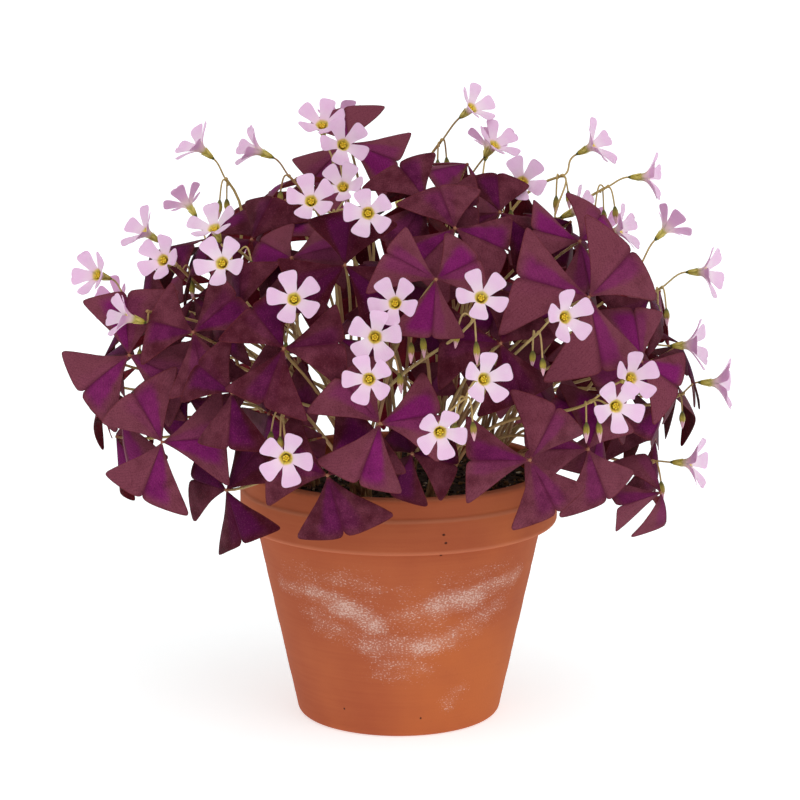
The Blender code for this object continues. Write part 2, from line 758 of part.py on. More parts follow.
def made_object(name, verts, faces, material):
    """A mesh object with its faces pointing out."""
    mesh = bpy.data.meshes.new(name)
    mesh.from_pydata([tuple(v) for v in verts], [], faces)
    bm = bmesh.new()
    bm.from_mesh(mesh)
    bmesh.ops.recalc_face_normals(bm, faces=bm.faces)
    bm.to_mesh(mesh)
    bm.free()
    mesh.materials.append(material)
    obj = bpy.data.objects.new(name, mesh)
    bpy.context.scene.collection.objects.link(obj)
    return obj


def finish_of(name, colour, roughness):
    """A plain material of one colour."""
    material = bpy.data.materials.new(name)
    material.use_nodes = True
    shader = material.node_tree.nodes["Principled BSDF"]
    shader.inputs["Base Color"].default_value = (*colour, 1)
    shader.inputs["Roughness"].default_value = roughness
    shader.inputs["Metallic"].default_value = 0
    material.diffuse_color = (*colour, 1)
    return material


def keep_largest_shell(mesh):
    """Fills a hollow that growing together has sealed: its wall is a shell of its own, which goes."""
    bm = bmesh.new()
    bm.from_mesh(mesh)
    left = set(bm.faces)
    shells = []
    while left:
        reached = [left.pop()]
        shell = list(reached)
        while reached:
            for edge in reached.pop().edges:
                for face in edge.link_faces:
                    if face in left:
                        left.remove(face)
                        shell.append(face)
                        reached.append(face)
        shells.append(shell)
    shells.sort(key=len)
    for shell in shells[:-1]:
        bmesh.ops.delete(bm, geom=shell, context="FACES")
    bm.to_mesh(mesh)
    bm.free()


def united(name, first, others, material):
    """One solid from a mesh and what grows out of it."""
    body = made_object(name, *first, material)
    pile = bpy.data.collections.new(name + "_growth")
    bpy.context.scene.collection.children.link(pile)
    for i, (verts, faces) in enumerate(others):
        piece = made_object(f"{name}_growth_{i}", verts, faces, material)
        bpy.context.scene.collection.objects.unlink(piece)
        pile.objects.link(piece)
    union = body.modifiers.new("union", "BOOLEAN")
    union.operation = "UNION"
    union.operand_type = "COLLECTION"
    union.collection = pile
    union.solver = "MANIFOLD"
    with bpy.context.temp_override(object=body, active_object=body, selected_objects=[body]):
        bpy.ops.object.modifier_apply(modifier=union.name)
    for piece in list(pile.objects):
        bpy.data.objects.remove(piece)
    bpy.data.collections.remove(pile)
    return body


def corm_mesh(place):
    """A corm, a small ovoid whose top stands a little out of the soil."""
    top = soil_height(place.length) + CORM_RISE
    path = [Vector((place.x, place.y, top - CORM_LENGTH * share)) for share in (0, 0.25, 0.7, 1)]
    return tube(path, [CORM_RADIUS * 0.75, CORM_RADIUS, CORM_RADIUS * 0.8, 0], CORM_SIDES)


def build_soil(material):
    """The soil, which fills the pot and has a plain hole for each corm."""
    inner_foot = FOOT_RADIUS - WALL - CLEARANCE
    inner_top = RIM_RADIUS - LIP_STEP - WALL - 1 * MM - CLEARANCE
    profile = [(inner_foot, FLOOR_THICKNESS + CLEARANCE), (inner_top, RIM_FOOT), (inner_top, SOIL_LEVEL)]
    profile += [(inner_top * share, soil_height(inner_top * share)) for share in (0.66, 0.33)]
    verts, faces = turned(profile, SOIL_SIDES)
    faces = faces[: -SOIL_SIDES]
    last = (len(profile) - 1) * SOIL_SIDES
    faces += [tuple(range(SOIL_SIDES)), tuple(range(last, last + SOIL_SIDES))]
    soil = made_object("soil", verts, faces, material)
    holes = []
    for place in CROWNS:
        top = soil_height(place.length) + 10 * MM
        foot = soil_height(place.length) + CORM_RISE - CORM_LENGTH - CLEARANCE
        path = [Vector((place.x, place.y, top)), Vector((place.x, place.y, foot))]
        holes.append(tube(path, [CORM_RADIUS + 2 * CLEARANCE] * 2, 8))
    drill = united("drill", holes[0], holes[1:], material)
    cut = soil.modifiers.new("holes", "BOOLEAN")
    cut.operation = "DIFFERENCE"
    cut.object = drill
    cut.solver = "EXACT"
    with bpy.context.temp_override(object=soil, active_object=soil, selected_objects=[soil]):
        bpy.ops.object.modifier_apply(modifier=cut.name)
    bpy.data.objects.remove(drill)
    return soil


def build():
    for obj in list(bpy.data.objects):
        bpy.data.objects.remove(obj)
    clay = finish_of("clay", (0.55, 0.18, 0.08), 0.8)
    earth = finish_of("earth", (0.03, 0.018, 0.012), 0.95)
    purple = finish_of("leaf_purple", (0.12, 0.02, 0.07), 0.55)
    pink = finish_of("petal_pink", (0.75, 0.45, 0.68), 0.6)
    pot = made_object("pot", *pot_mesh(), clay)
    pot.data.shade_smooth()
    pot.data.set_sharp_from_angle(angle=math.radians(25))
    build_soil(earth)
    leaves, sprays = lay_out()
    for crown, place in enumerate(CROWNS):
        growth = [leaf.mesh() for leaf in leaves if leaf.crown == crown]
        for spray in sprays:
            if spray.crown == crown:
                growth += spray.stalks()
        made = united(f"crown_{crown + 1:02d}", corm_mesh(place), growth, purple)
        keep_largest_shell(made.data)
    blooms = [bloom for spray in sprays for bloom in spray.blooms]
    for n, bloom in enumerate(blooms):
        made_object(f"bloom_{n + 1:02d}", *bloom.mesh(), pink)


build()
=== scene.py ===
"""Potted purple shamrock, dressed: a clay pot of soil, purple leaves of three leaflets, and pink flowers.

Metres, +Z up. The origin is the centre of the pot's underside and the front looks along -Y.
"""

import random
from math import asin, atan2, cos, degrees, hypot, pi, radians, sin, sqrt, tau

import bmesh
import bpy
import numpy as np
from mathutils import Matrix, Vector, noise
from mathutils.kdtree import KDTree


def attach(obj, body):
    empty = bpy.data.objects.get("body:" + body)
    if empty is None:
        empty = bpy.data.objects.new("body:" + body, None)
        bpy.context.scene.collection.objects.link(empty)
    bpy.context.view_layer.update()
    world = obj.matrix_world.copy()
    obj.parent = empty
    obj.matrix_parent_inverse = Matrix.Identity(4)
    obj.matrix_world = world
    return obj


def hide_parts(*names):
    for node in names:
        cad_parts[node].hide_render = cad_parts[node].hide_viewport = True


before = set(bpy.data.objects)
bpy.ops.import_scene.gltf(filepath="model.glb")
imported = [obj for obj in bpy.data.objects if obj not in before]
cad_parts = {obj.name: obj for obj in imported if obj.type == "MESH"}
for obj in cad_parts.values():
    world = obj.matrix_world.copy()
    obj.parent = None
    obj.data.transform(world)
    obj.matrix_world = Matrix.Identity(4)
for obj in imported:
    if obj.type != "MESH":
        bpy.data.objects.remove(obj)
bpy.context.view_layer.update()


# Clay pot.
# A plain flowerpot of red earthenware, turned on a wheel, with a thick rim band and a line tooled round it.
# It was fired once and never glazed, so water has carried white salts out through its wall.
MM = 0.001
RIM_RADIUS = 75
RIM_FOOT = 94
RIM_RIDGE = 109.5
POT_HEIGHT = 120
NECK_RADIUS = 68
FOOT_RADIUS = 47.8
WALL = 6
LIP_STEP = 1.2
FLOOR_THICKNESS = 8
DRAIN_RADIUS = 7
POT_SIDES = 160
ROUNDING_STEPS = 5
WALL_CUTS = 34
WALL_RIPPLE = 0.09
LONG_STEP = 20
# Faces that meet at more than this show an edge
SHARP_ANGLE = radians(55)
# Corners of half the pot's section in mm: radius, height and how far the corner is rounded
POT_SECTION = (
    (DRAIN_RADIUS, 0, 1),
    (FOOT_RADIUS, 0, 3.2),
    (NECK_RADIUS, RIM_FOOT, 0.7),
    (RIM_RADIUS, RIM_FOOT, 1.8),
    (RIM_RADIUS, RIM_RIDGE, 0.8),
    (RIM_RADIUS - LIP_STEP, RIM_RIDGE + 1.6, 1.0),
    (RIM_RADIUS - LIP_STEP - 0.5, POT_HEIGHT, 2.2),
    (RIM_RADIUS - LIP_STEP - WALL, POT_HEIGHT, 1.8),
    (RIM_RADIUS - LIP_STEP - WALL - 1, RIM_FOOT, 3),
    (FOOT_RADIUS - WALL, FLOOR_THICKNESS, 4),
    (DRAIN_RADIUS, FLOOR_THICKNESS, 1),
)
# Bands of salt on the wall: degrees round from the front and height in mm of each end, then half the band's
# width in mm and its strength
SALT_BANDS = (
    (-58, 71, -40, 70, 4, 0.6),
    (-40, 70, -24, 66, 5, 0.8),
    (-27, 66, -12, 59, 6, 0.95),
    (16, 66, 36, 70, 6, 0.9),
    (36, 71, 58, 74, 5, 0.7),
    (-50, 76, -12, 77, 7, 0.4),
    (20, 78, 50, 79, 5, 0.38),
    (-10, 66, 20, 60, 10, 0.42),
    (-38, 59, -10, 50, 8, 0.5),
    (-14, 47, 8, 46, 5, 0.75),
    (8, 46, 24, 50, 5, 0.85),
    (22, 50, 46, 62, 7, 0.5),
    (-8, 37, 10, 36, 7, 0.5),
    (26, 16, 35, 24, 4, 0.5),
    (100, 72, 150, 68, 8, 0.6),
    (-170, 62, -120, 70, 8, 0.55),
    (130, 45, 170, 52, 8, 0.5),
)
# Small holes that burnt-out specks left in the clay: degrees round, height in mm
PITS = (
    (15.7, 103.6), (16.5, 99.7), (16.5, 92.3), (-30.1, 12.8),
    (11.8, 9.8), (-96, 101), (140, 98), (172, 22),
)


class Tone:
    """One socket among a material's nodes. Sums on it add their Math nodes, and 1 - mask works too."""

    def __init__(self, tree, socket=None):
        self.tree = tree
        self.socket = socket

    def node(self, kind, settings=(), sockets=(), out=0):
        """An output of a new node of this type, whose settings are made before its sockets are filled."""
        made = self.tree.nodes.new(kind)
        for name, value in dict(settings).items():
            setattr(made, name, value)
        for name, value in dict(sockets).items():
            if isinstance(value, Tone):
                self.tree.links.new(value.socket, made.inputs[name])
            else:
                made.inputs[name].default_value = value
        return Tone(self.tree, made.outputs[out])

    def sum(self, operation, *terms):
        """What a Math node makes of these terms, sockets or numbers."""
        return self.node("ShaderNodeMath", {"operation": operation}, dict(enumerate(terms)))

    def __pow__(self, other):
        return self.sum("POWER", self, other)

    def __abs__(self):
        return self.sum("ABSOLUTE", self)

    def parts(self):
        """The three numbers of a vector."""
        return [self.node("ShaderNodeSeparateXYZ", (), {0: self}, out) for out in range(3)]

    def rise(self, low, high):
        """0 at low and before, 1 at high and after, and smooth between."""
        return self.node(
            "ShaderNodeMapRange",
            {"interpolation_type": "SMOOTHSTEP"},
            {"Value": self, "From Min": low, "From Max": high},
        )

    def cover(self, bare, covered):
        """One colour where this mask is 0 and another where it is 1."""
        return self.node("ShaderNodeMix", {"data_type": "RGBA"}, {0: self, 6: bare, 7: covered}, 2)

    def grain(self, size, detail=2.0, stretch=(1, 1, 1)):
        """Noise, 0 to 1, in patches about this many metres across, longer where it is stretched."""
        scale = [1 / (size * part) for part in stretch]
        place = self.node("ShaderNodeVectorMath", {"operation": "MULTIPLY"}, {0: self, 1: scale})
        return self.node("ShaderNodeTexNoise", (), {"Vector": place, "Scale": 1, "Detail": detail})

    def look(self, name):
        """The three numbers that each point of a piece carries under this name."""
        return self.node("ShaderNodeAttribute", {"attribute_name": name}, (), 1).parts()


# Each of these signs adds its Math node, whichever side of it the socket stands on
for sign, operation in (("add", "ADD"), ("sub", "SUBTRACT"), ("mul", "MULTIPLY"), ("truediv", "DIVIDE")):
    setattr(Tone, f"__{sign}__", lambda tone, other, kind=operation: tone.sum(kind, tone, other))
    setattr(Tone, f"__r{sign}__", lambda tone, other, kind=operation: tone.sum(kind, other, tone))


def greatest(first, *others):
    """The greatest of these numbers at each point."""
    for other in others:
        first = first.sum("MAXIMUM", first, other)
    return first


def colour(red, green, blue):
    """A colour as a photograph gives it, 0 to 255, turned into the light that a material takes."""
    return tuple((part / 255) ** 2.2 for part in (red, green, blue)) + (1,)


def new_finish(name, constants):
    """A material with these values on its shader's sockets, and the place that its patterns start from."""
    material = bpy.data.materials.new(name)
    material.use_nodes = True
    surface = material.node_tree.nodes["Principled BSDF"]
    for socket, value in constants.items():
        surface.inputs[socket].default_value = value
    return material, Tone(material.node_tree).node("ShaderNodeTexCoord", out=3)


def lay_on(material, base_colour, roughness, height, depth):
    """Gives a material its varying colour and roughness, and its low relief, this many metres deep."""
    surface = material.node_tree.nodes["Principled BSDF"]
    normal = height.node("ShaderNodeBump", (), {"Height": height, "Distance": depth})
    for name, tone in (("Base Color", base_colour), ("Roughness", roughness), ("Normal", normal)):
        material.node_tree.links.new(tone.socket, surface.inputs[name])


class Form:
    """A piece's mesh in the making. Each point carries two looks of three numbers for its material."""

    def __init__(self):
        self.points = []
        self.faces = []
        self.places = []
        self.moods = []

    def add(self, points, faces, place, mood):
        first = len(self.points)
        self.points += points
        self.faces += [tuple(first + i for i in face) for face in faces]
        self.places += [place(i) for i in range(len(points))]
        self.moods += [mood] * len(points)

    def skin(self, rows, place=lambda row, i: (0, 0, 0), mood=(0, 0, 0), round_again=False):
        """Skins closed loops of points, each to the next, and closes both ends or joins them."""
        count = len(rows[0])
        faces = []
        for n in range(len(rows) - (not round_again)):
            ahead = (n + 1) % len(rows)
            for i in range(count):
                j = (i + 1) % count
                faces.append((n * count + i, n * count + j, ahead * count + j, ahead * count + i))
        if not round_again:
            for start in (0, (len(rows) - 1) * count):
                for i in range(count // 2 - 1):
                    faces.append((start + i, start + i + 1, start + count - 2 - i, start + count - 1 - i))
        points = [point for row in rows for point in row]
        self.add(points, faces, lambda i: place(i // count, i % count), mood)

    def piece(self, name, material, slot, node):
        """The finished object, with its faces pointing out, in place of a node of the CAD model."""
        mesh = bpy.data.meshes.new(name)
        mesh.from_pydata([tuple(point) for point in self.points], [], self.faces)
        for title, looks in (("place", self.places), ("mood", self.moods)):
            layer = mesh.attributes.new(title, "FLOAT_VECTOR", "POINT")
            layer.data.foreach_set("vector", [float(part) for look in looks for part in look])
        bm = bmesh.new()
        bm.from_mesh(mesh)
        bmesh.ops.recalc_face_normals(bm, faces=bm.faces)
        bm.to_mesh(mesh)
        bm.free()
        mesh.materials.append(material)
        mesh.shade_smooth()
        mesh.set_sharp_from_angle(angle=SHARP_ANGLE)
        made = bpy.data.objects.new(name, mesh)
        bpy.context.scene.collection.objects.link(made)
        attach(made, "root")
        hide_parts(node)
        return made


def rounded(corners, steps):
    """A closed section whose corners are rounded off, as radius and height in mm."""
    section = []
    for i, (radius, height, rounding) in enumerate(corners):
        corner = Vector((radius, height))
        before = Vector(corners[i - 1][:2])
        after = Vector(corners[(i + 1) % len(corners)][:2])
        start = corner + (before - corner).normalized() * rounding
        end = corner + (after - corner).normalized() * rounding
        for n in range(steps + 1):
            t = n / steps
            section.append(start * (1 - t) ** 2 + corner * (2 * t * (1 - t)) + end * t * t)
    return section


def thrown(section):
    """The section with its outer wall cut finer and rippled a little, as the potter's fingers leave it."""
    chance = random.Random(4)
    finer = []
    for point, after in zip(section, section[1:] + section[:1]):
        finer.append(point)
        if point.x > FOOT_RADIUS - 1 and after.y - point.y > LONG_STEP:
            for n in range(1, WALL_CUTS):
                ripple = Vector((chance.uniform(-WALL_RIPPLE, WALL_RIPPLE), 0))
                finer.append(point.lerp(after, n / WALL_CUTS) + ripple)
    return finer


clay_pot = Form()
section = thrown(rounded(POT_SECTION, ROUNDING_STEPS))
clay_rows = []
for n in range(POT_SIDES):
    angle = tau * n / POT_SIDES
    clay_rows.append([Vector((cos(angle) * p.x, sin(angle) * p.x, p.y)) * MM for p in section])
clay_pot.skin(clay_rows, round_again=True)

CLAY = colour(177, 94, 60)
CLAY_DULL = colour(164, 82, 53)
CLAY_ORANGE = colour(193, 104, 55)
CLAY_WORN_HIGHLIGHT = colour(202, 124, 92)
SALT = colour(226, 196, 184)
PIT_SHADE = colour(70, 34, 24)
MEAN_RADIUS = 58
SALT_FALLOFF = 2.3
RELIEF_DEPTH = 0.16 * MM

clay, spot = new_finish("fired_clay", {"Specular IOR Level": 0.25})
x, y, z = spot.parts()
height = z / MM
turn = x.sum("ARCTAN2", x, 0 - y) * MEAN_RADIUS
unrolled = turn.node("ShaderNodeCombineXYZ", (), {0: turn, 1: height, 2: 0})
blotches = spot.grain(45 * MM, 3)
streaks = spot.grain(2.2 * MM, 3, (14, 14, 0.6))
specks = spot.grain(0.9 * MM, 2)
base = (blotches + (streaks - 0.5) * 0.35).rise(0.2, 0.8).cover(CLAY_DULL, CLAY)
# Painted light: the clay turns a brighter orange towards the right, where the front-right lamp falls; it
# also warms lower down and in random blotches.
warm_and_lit_right = (x / MM * 0.008 + (60 - height) * 0.006 + (blotches - 0.5) * 1.4).rise(-0.1, 0.9)
base = (warm_and_lit_right * 0.75).cover(base, CLAY_ORANGE)
base = ((specks - 0.5).rise(0.08, 0.25) * 0.25).cover(base, CLAY_DULL)
# Pale lines along the tooled ridge, the lip and the rim's lower edge: partly wear, partly painted
# highlights where those edges catch the light.
ridge = 1 - abs(height - RIM_RIDGE - 0.4).rise(0.1, 1.2)
lip = 1 - abs(height - POT_HEIGHT).rise(0.3, 1.6)
edge = 1 - abs(height - RIM_FOOT - 1.0).rise(0.2, 1.6)
worn_and_highlit = greatest(ridge * 0.6, lip * 0.5, edge * 0.34)
base = worn_and_highlit.cover(base, CLAY_WORN_HIGHLIGHT)
# Painted shade: a duller band on the wall just under the rim's lower edge, where the rim shades it.
under_rim_shade = height.rise(RIM_FOOT - 7, RIM_FOOT - 0.5) * height.rise(RIM_FOOT + 0.4, RIM_FOOT - 0.2)
base = (under_rim_shade * 0.3).cover(base, CLAY_DULL)
bands = []
for turn_a, height_a, turn_b, height_b, half_width, strength in SALT_BANDS:
    ax, bx = radians(turn_a) * MEAN_RADIUS, radians(turn_b) * MEAN_RADIUS
    length = hypot(bx - ax, height_b - height_a)
    ux, uz = (bx - ax) / length, (height_b - height_a) / length
    ahead = (turn - ax) * ux + (height - height_a) * uz
    beyond = greatest(abs(ahead - length / 2) - length / 2, 0)
    beside = abs((turn - ax) * uz - (height - height_a) * ux)
    off = (beyond * beyond + beside * beside) ** 0.5
    bands.append(off.rise(half_width * SALT_FALLOFF, 0) * strength)
salt = greatest(*bands)
dashes = unrolled.grain(0.8, 3, (1.3, 0.9, 1))
clumps = unrolled.grain(9, 4, (1.7, 0.9, 1))
crust = (salt * 0.9 + (dashes - 0.5) * 3.2 + (clumps - 0.5) * 1.3).rise(0.5, 1.2) * salt.rise(0.02, 0.25)
haze = (salt * 0.9 + (clumps - 0.5) * 0.9).rise(0.2, 1.2) * 0.3
base = greatest(crust * 0.7, haze).cover(base, SALT)
holes = []
for turn_at, height_at in PITS:
    aside = turn - radians(turn_at) * MEAN_RADIUS
    above = height - height_at
    holes.append(((aside * aside + above * above) ** 0.5).rise(0.75, 0.25))
pit = greatest(*holes)
# Painted shade: each pit is painted dark for the shade inside the small hole.
base = pit.cover(base, PIT_SHADE)
relief = streaks * 0.3 + specks * 0.35 + crust * 0.3 - pit * 1.5
lay_on(clay, base, 0.86 + crust * 0.1 - worn_and_highlit * 0.1, relief, RELIEF_DEPTH)
clay_pot.piece("clay_pot", clay, "clay", "pot")


# Soil.
# Dark potting mix of peat and bark with a few pale grains, pressed in by hand to just below the pot's lip.
# It is one crumbly lump, and loose crumbs, bits of bark and grains lie on it.
UP = Vector((0, 0, 1))
SOIL_LEVEL = 112
SOIL_CROWNING = 3
SOIL_SINK = 0.4 * MM
SOIL_SIDES = 120
SOIL_RINGS = 40
BED_RADIUS = 66.3
# Radius and height in mm up the lump's underside and side, against the pot's floor and wall
BED_SIDE = ((1, 8.4), (41.4, 8.4), (65.8, 90), (BED_RADIUS, 108))
# Bumps to a metre of the soil's top, and their height in mm
SOIL_BUMPS = ((90, 1.1), (260, 0.9), (700, 0.5))
CRUMBS = 1300
CRUMB_REACH = 64
PALE_GRAINS = 0.9


def soil_height(radius):
    """Height in metres of the soil at this distance from the pot's middle, also in metres."""
    return (SOIL_LEVEL + SOIL_CROWNING * (1 - (radius / MM / (RIM_RADIUS - WALL)) ** 2)) * MM


def soil_point(radius, angle):
    """A point of the soil's uneven top."""
    flat = Vector((radius * cos(angle), radius * sin(angle), 0))
    bumps = sum(noise.noise(flat * closeness) * rise for closeness, rise in SOIL_BUMPS)
    return flat + UP * (soil_height(radius) + bumps * MM - SOIL_SINK)


soil_bed = Form()
soil_rows = []
for radius, level in BED_SIDE:
    soil_rows.append([
        Vector((radius * cos(a), radius * sin(a), level)) * MM
        for a in (tau * n / SOIL_SIDES for n in range(SOIL_SIDES))
    ])
for ring in range(SOIL_RINGS):
    reach = (BED_RADIUS * (1 - ring / SOIL_RINGS) ** 0.9 + 0.2) * MM
    soil_rows.append([soil_point(reach, tau * n / SOIL_SIDES) for n in range(SOIL_SIDES)])
soil_bed.skin(soil_rows)
bit = bmesh.new()
bmesh.ops.create_icosphere(bit, subdivisions=1, radius=1)
bit_points = [v.co.copy() for v in bit.verts]
bit_faces = [tuple(v.index for v in f.verts) for f in bit.faces]
bit.free()
chance = random.Random(11)
for n in range(CRUMBS):
    where = soil_point(CRUMB_REACH * MM * sqrt(chance.random()), chance.uniform(0, tau))
    pale = chance.random()
    size = chance.uniform(0.4, 1.5) * MM * (1.3 if pale > PALE_GRAINS else 1)
    shape = Vector((chance.uniform(0.6, 1.8), chance.uniform(0.6, 1.1), chance.uniform(0.35, 0.8))) * size
    spin = Matrix.Rotation(chance.uniform(0, 6.3), 3, "Z")
    roll = spin @ Matrix.Rotation(chance.uniform(-0.6, 0.6), 3, "X")
    points = []
    for p in bit_points:
        knocked = p * chance.uniform(0.75, 1.15)
        points.append(where + UP * (size * 0.3) + roll @ Vector([knocked[i] * shape[i] for i in range(3)]))
    soil_bed.add(points, bit_faces, lambda i, pale=pale: (pale, 1, 0), (0, 0, 0))

PEAT_DARK = colour(34, 24, 19)
PEAT_LIT = colour(74, 55, 40)
BARK_DARK = colour(46, 33, 25)
BARK_LIT = colour(112, 84, 52)
GRAIN = colour(196, 184, 160)
SOIL_SHADE = colour(24, 17, 14)

soil_mix, spot = new_finish("potting_mix", {"Specular IOR Level": 0.3})
kind, loose, _ = spot.look("place")
lumps = spot.grain(5 * MM, 4)
fine = spot.grain(0.8 * MM, 3)
dark = (lumps + (fine - 0.5) * 0.8).rise(0.3, 0.75).cover(PEAT_DARK, PEAT_LIT)
bark = kind.rise(0.45, 0.9).cover(BARK_DARK, BARK_LIT)
bark = kind.rise(0.955, 0.965).cover(bark, GRAIN)
base = loose.cover(dark, bark)
base = ((fine - 0.5).rise(0.05, 0.3) * 0.4).cover(base, SOIL_SHADE)
lay_on(soil_mix, base, 0.94 - fine * 0.1, lumps * 0.6 + fine * 0.5, 0.7 * MM)
soil_bed.piece("soil_bed", soil_mix, "earth", "soil")


# Corms.
# Small scaly underground stems, brown and pink, set just in the soil. Every leaf and spray grows from one.
CORM_RADIUS = 7 * MM
CORM_LENGTH = 15 * MM
CORM_RISE = 1.5 * MM
CORM_ROWS = 11
CORM_SIDES = 16
# The rings of corms: how many, how far out, and how far round the first is as a share of their spacing
CORM_RINGS = ((8, 45 * MM, 0.5), (4, 20 * MM, 0.1))
CROWN_STALKS = 13
SOCKET_REACH = 0.82 * CORM_RADIUS
SOCKET_DEPTH = 2.5 * MM


def crown_places():
    """The middles of the corms: a ring of eight outer ones round four inner ones."""
    places = []
    for count, ring, offset in CORM_RINGS:
        for i in range(count):
            angle = tau * (i + offset) / count
            places.append(Vector((ring * cos(angle), ring * sin(angle), 0)))
    return places


CROWNS = crown_places()


def crown_top(crown):
    place = CROWNS[crown]
    return Vector((place.x, place.y, soil_height(place.length) + CORM_RISE))


def socket_of(crown, slot):
    """Where the stalk of this number starts inside the corm. The stalks are spread evenly over its top."""
    turn = slot * pi * (3 - sqrt(5))
    reach = SOCKET_REACH * sqrt((slot % CROWN_STALKS + 0.5) / CROWN_STALKS)
    return crown_top(crown) + Vector((cos(turn) * reach, sin(turn) * reach, -SOCKET_DEPTH))


SCALE_DARK = colour(84, 50, 38)
SCALE_PINK = colour(150, 104, 84)

scales, spot = new_finish("corm_scales", {"Specular IOR Level": 0.4})
fibres = spot.grain(0.8 * MM, 3, (1, 1, 6))
base = fibres.rise(0.3, 0.7).cover(SCALE_DARK, SCALE_PINK)
lay_on(scales, base, 0.7 + fibres * 0.2, fibres, 0.4 * MM)
for crown, place in enumerate(CROWNS):
    corm = Form()
    rows = []
    for level in range(CORM_ROWS):
        t = level / (CORM_ROWS - 1)
        girth = CORM_RADIUS * (sin(pi * (0.04 + 0.9 * t)) ** 0.6) * (1 - 0.12 * t)
        middle = crown_top(crown) - UP * (CORM_LENGTH * t - 0.6 * MM)
        ring = []
        for n in range(CORM_SIDES):
            angle = tau * n / CORM_SIDES
            scale = 1 + 0.05 * cos(3 * angle + 2.4 * level) + 0.03 * cos(7 * angle)
            ring.append(middle + Vector((cos(angle), sin(angle), 0)) * (girth * scale))
        rows.append(ring)
    corm.skin(rows)
    corm.piece(f"corm_{crown + 1:02d}", scales, "earth", f"crown_{crown + 1:02d}")


# Leaves.
# Each is three folded leaflets, joined at a small knot and held up by one thin leaf stalk from a corm.
# The blades are paper thin and purple brown, redder below, with a violet patch on each side of the midrib.
LEAFLETS = 3
BLADE = 0.34 * MM
BLADE_DROP = 0.75 * MM
CORNER_SPREAD = radians(40)
NOTCH_REACH = (0.69, 0.77)
LEAF_FOLD = (12, 28)
LEAF_DROOP = (6, 20)
FURLED_FOLD = 28
FURLED_DROOP = 30
# A leaflet's far edge, as its distance from the hub at shares of the way from midrib to side edge
SWINGS = (0, 0.02, 0.05, 0.1, 0.18, 0.3, 0.45, 0.6, 0.75, 0.85, 0.9, 0.94, 0.967, 0.986, 1)
FAR_EDGE = (0, 0, 0, 0.806, 0.817, 0.832, 0.853, 0.885, 0.93, 0.966, 0.985, 0.999, 1.002, 0.99, 0.962)
NOTCH_SIDE = 3
REACHES = (0.03, 0.1, 0.18, 0.28, 0.38, 0.48, 0.58, 0.68, 0.78, 0.87, 0.94, 1)
ACROSS = [-swing for swing in reversed(SWINGS)] + list(SWINGS[1:])
LEAF_STALK_RADIUS = 0.8 * MM
LEAF_STALK_TAPER = 0.012 * MM
LEAF_STALK_CUTS = 16
STALK_SIDES = 8
# The knot at a leaf's hub: how far out of its face and how wide, in mm
KNOT = ((-0.35, 0.75), (0.0, 0.78), (0.25, 0.5), (0.4, 0.1))
RIB_DEPTH = 0.09


def bezier(ends, count):
    """Points along the cubic curve with these four control points."""
    a, b, c, d = ends
    points = []
    for i in range(count + 1):
        t = i / count
        u = 1 - t
        points.append(a * u**3 + b * (3 * u * u * t) + c * (3 * u * t * t) + d * t**3)
    return points


def rings(points, radii, sides, lobes=0):
    """Loops of points round a path, without twist along it, and ribbed a little where lobes are given."""
    loops = []
    side = (points[1] - points[0]).orthogonal().normalized()
    for i, (point, radius) in enumerate(zip(points, radii)):
        tangent = (points[min(i + 1, len(points) - 1)] - points[max(i - 1, 0)]).normalized()
        side = (side - tangent * side.dot(tangent)).normalized()
        other = tangent.cross(side)
        loop = []
        for k in range(sides):
            angle = tau * k / sides
            reach = radius * (1 + RIB_DEPTH * cos(lobes * angle)) if lobes else radius
            loop.append(point + side * (reach * cos(angle)) + other * (reach * sin(angle)))
        loops.append(loop)
    return loops


def setting_out(crown, slot, end, bow):
    """Where a stalk starts in its corm, its level way to its end, its length, and its bow sideways."""
    start = socket_of(crown, slot)
    away = Vector((end.x - start.x, end.y - start.y, 0))
    heading = away.normalized() if away.length > 1e-6 else Vector((1, 0, 0))
    length = (end - start).length
    return start, heading, length, heading.cross(UP) * (bow * length)


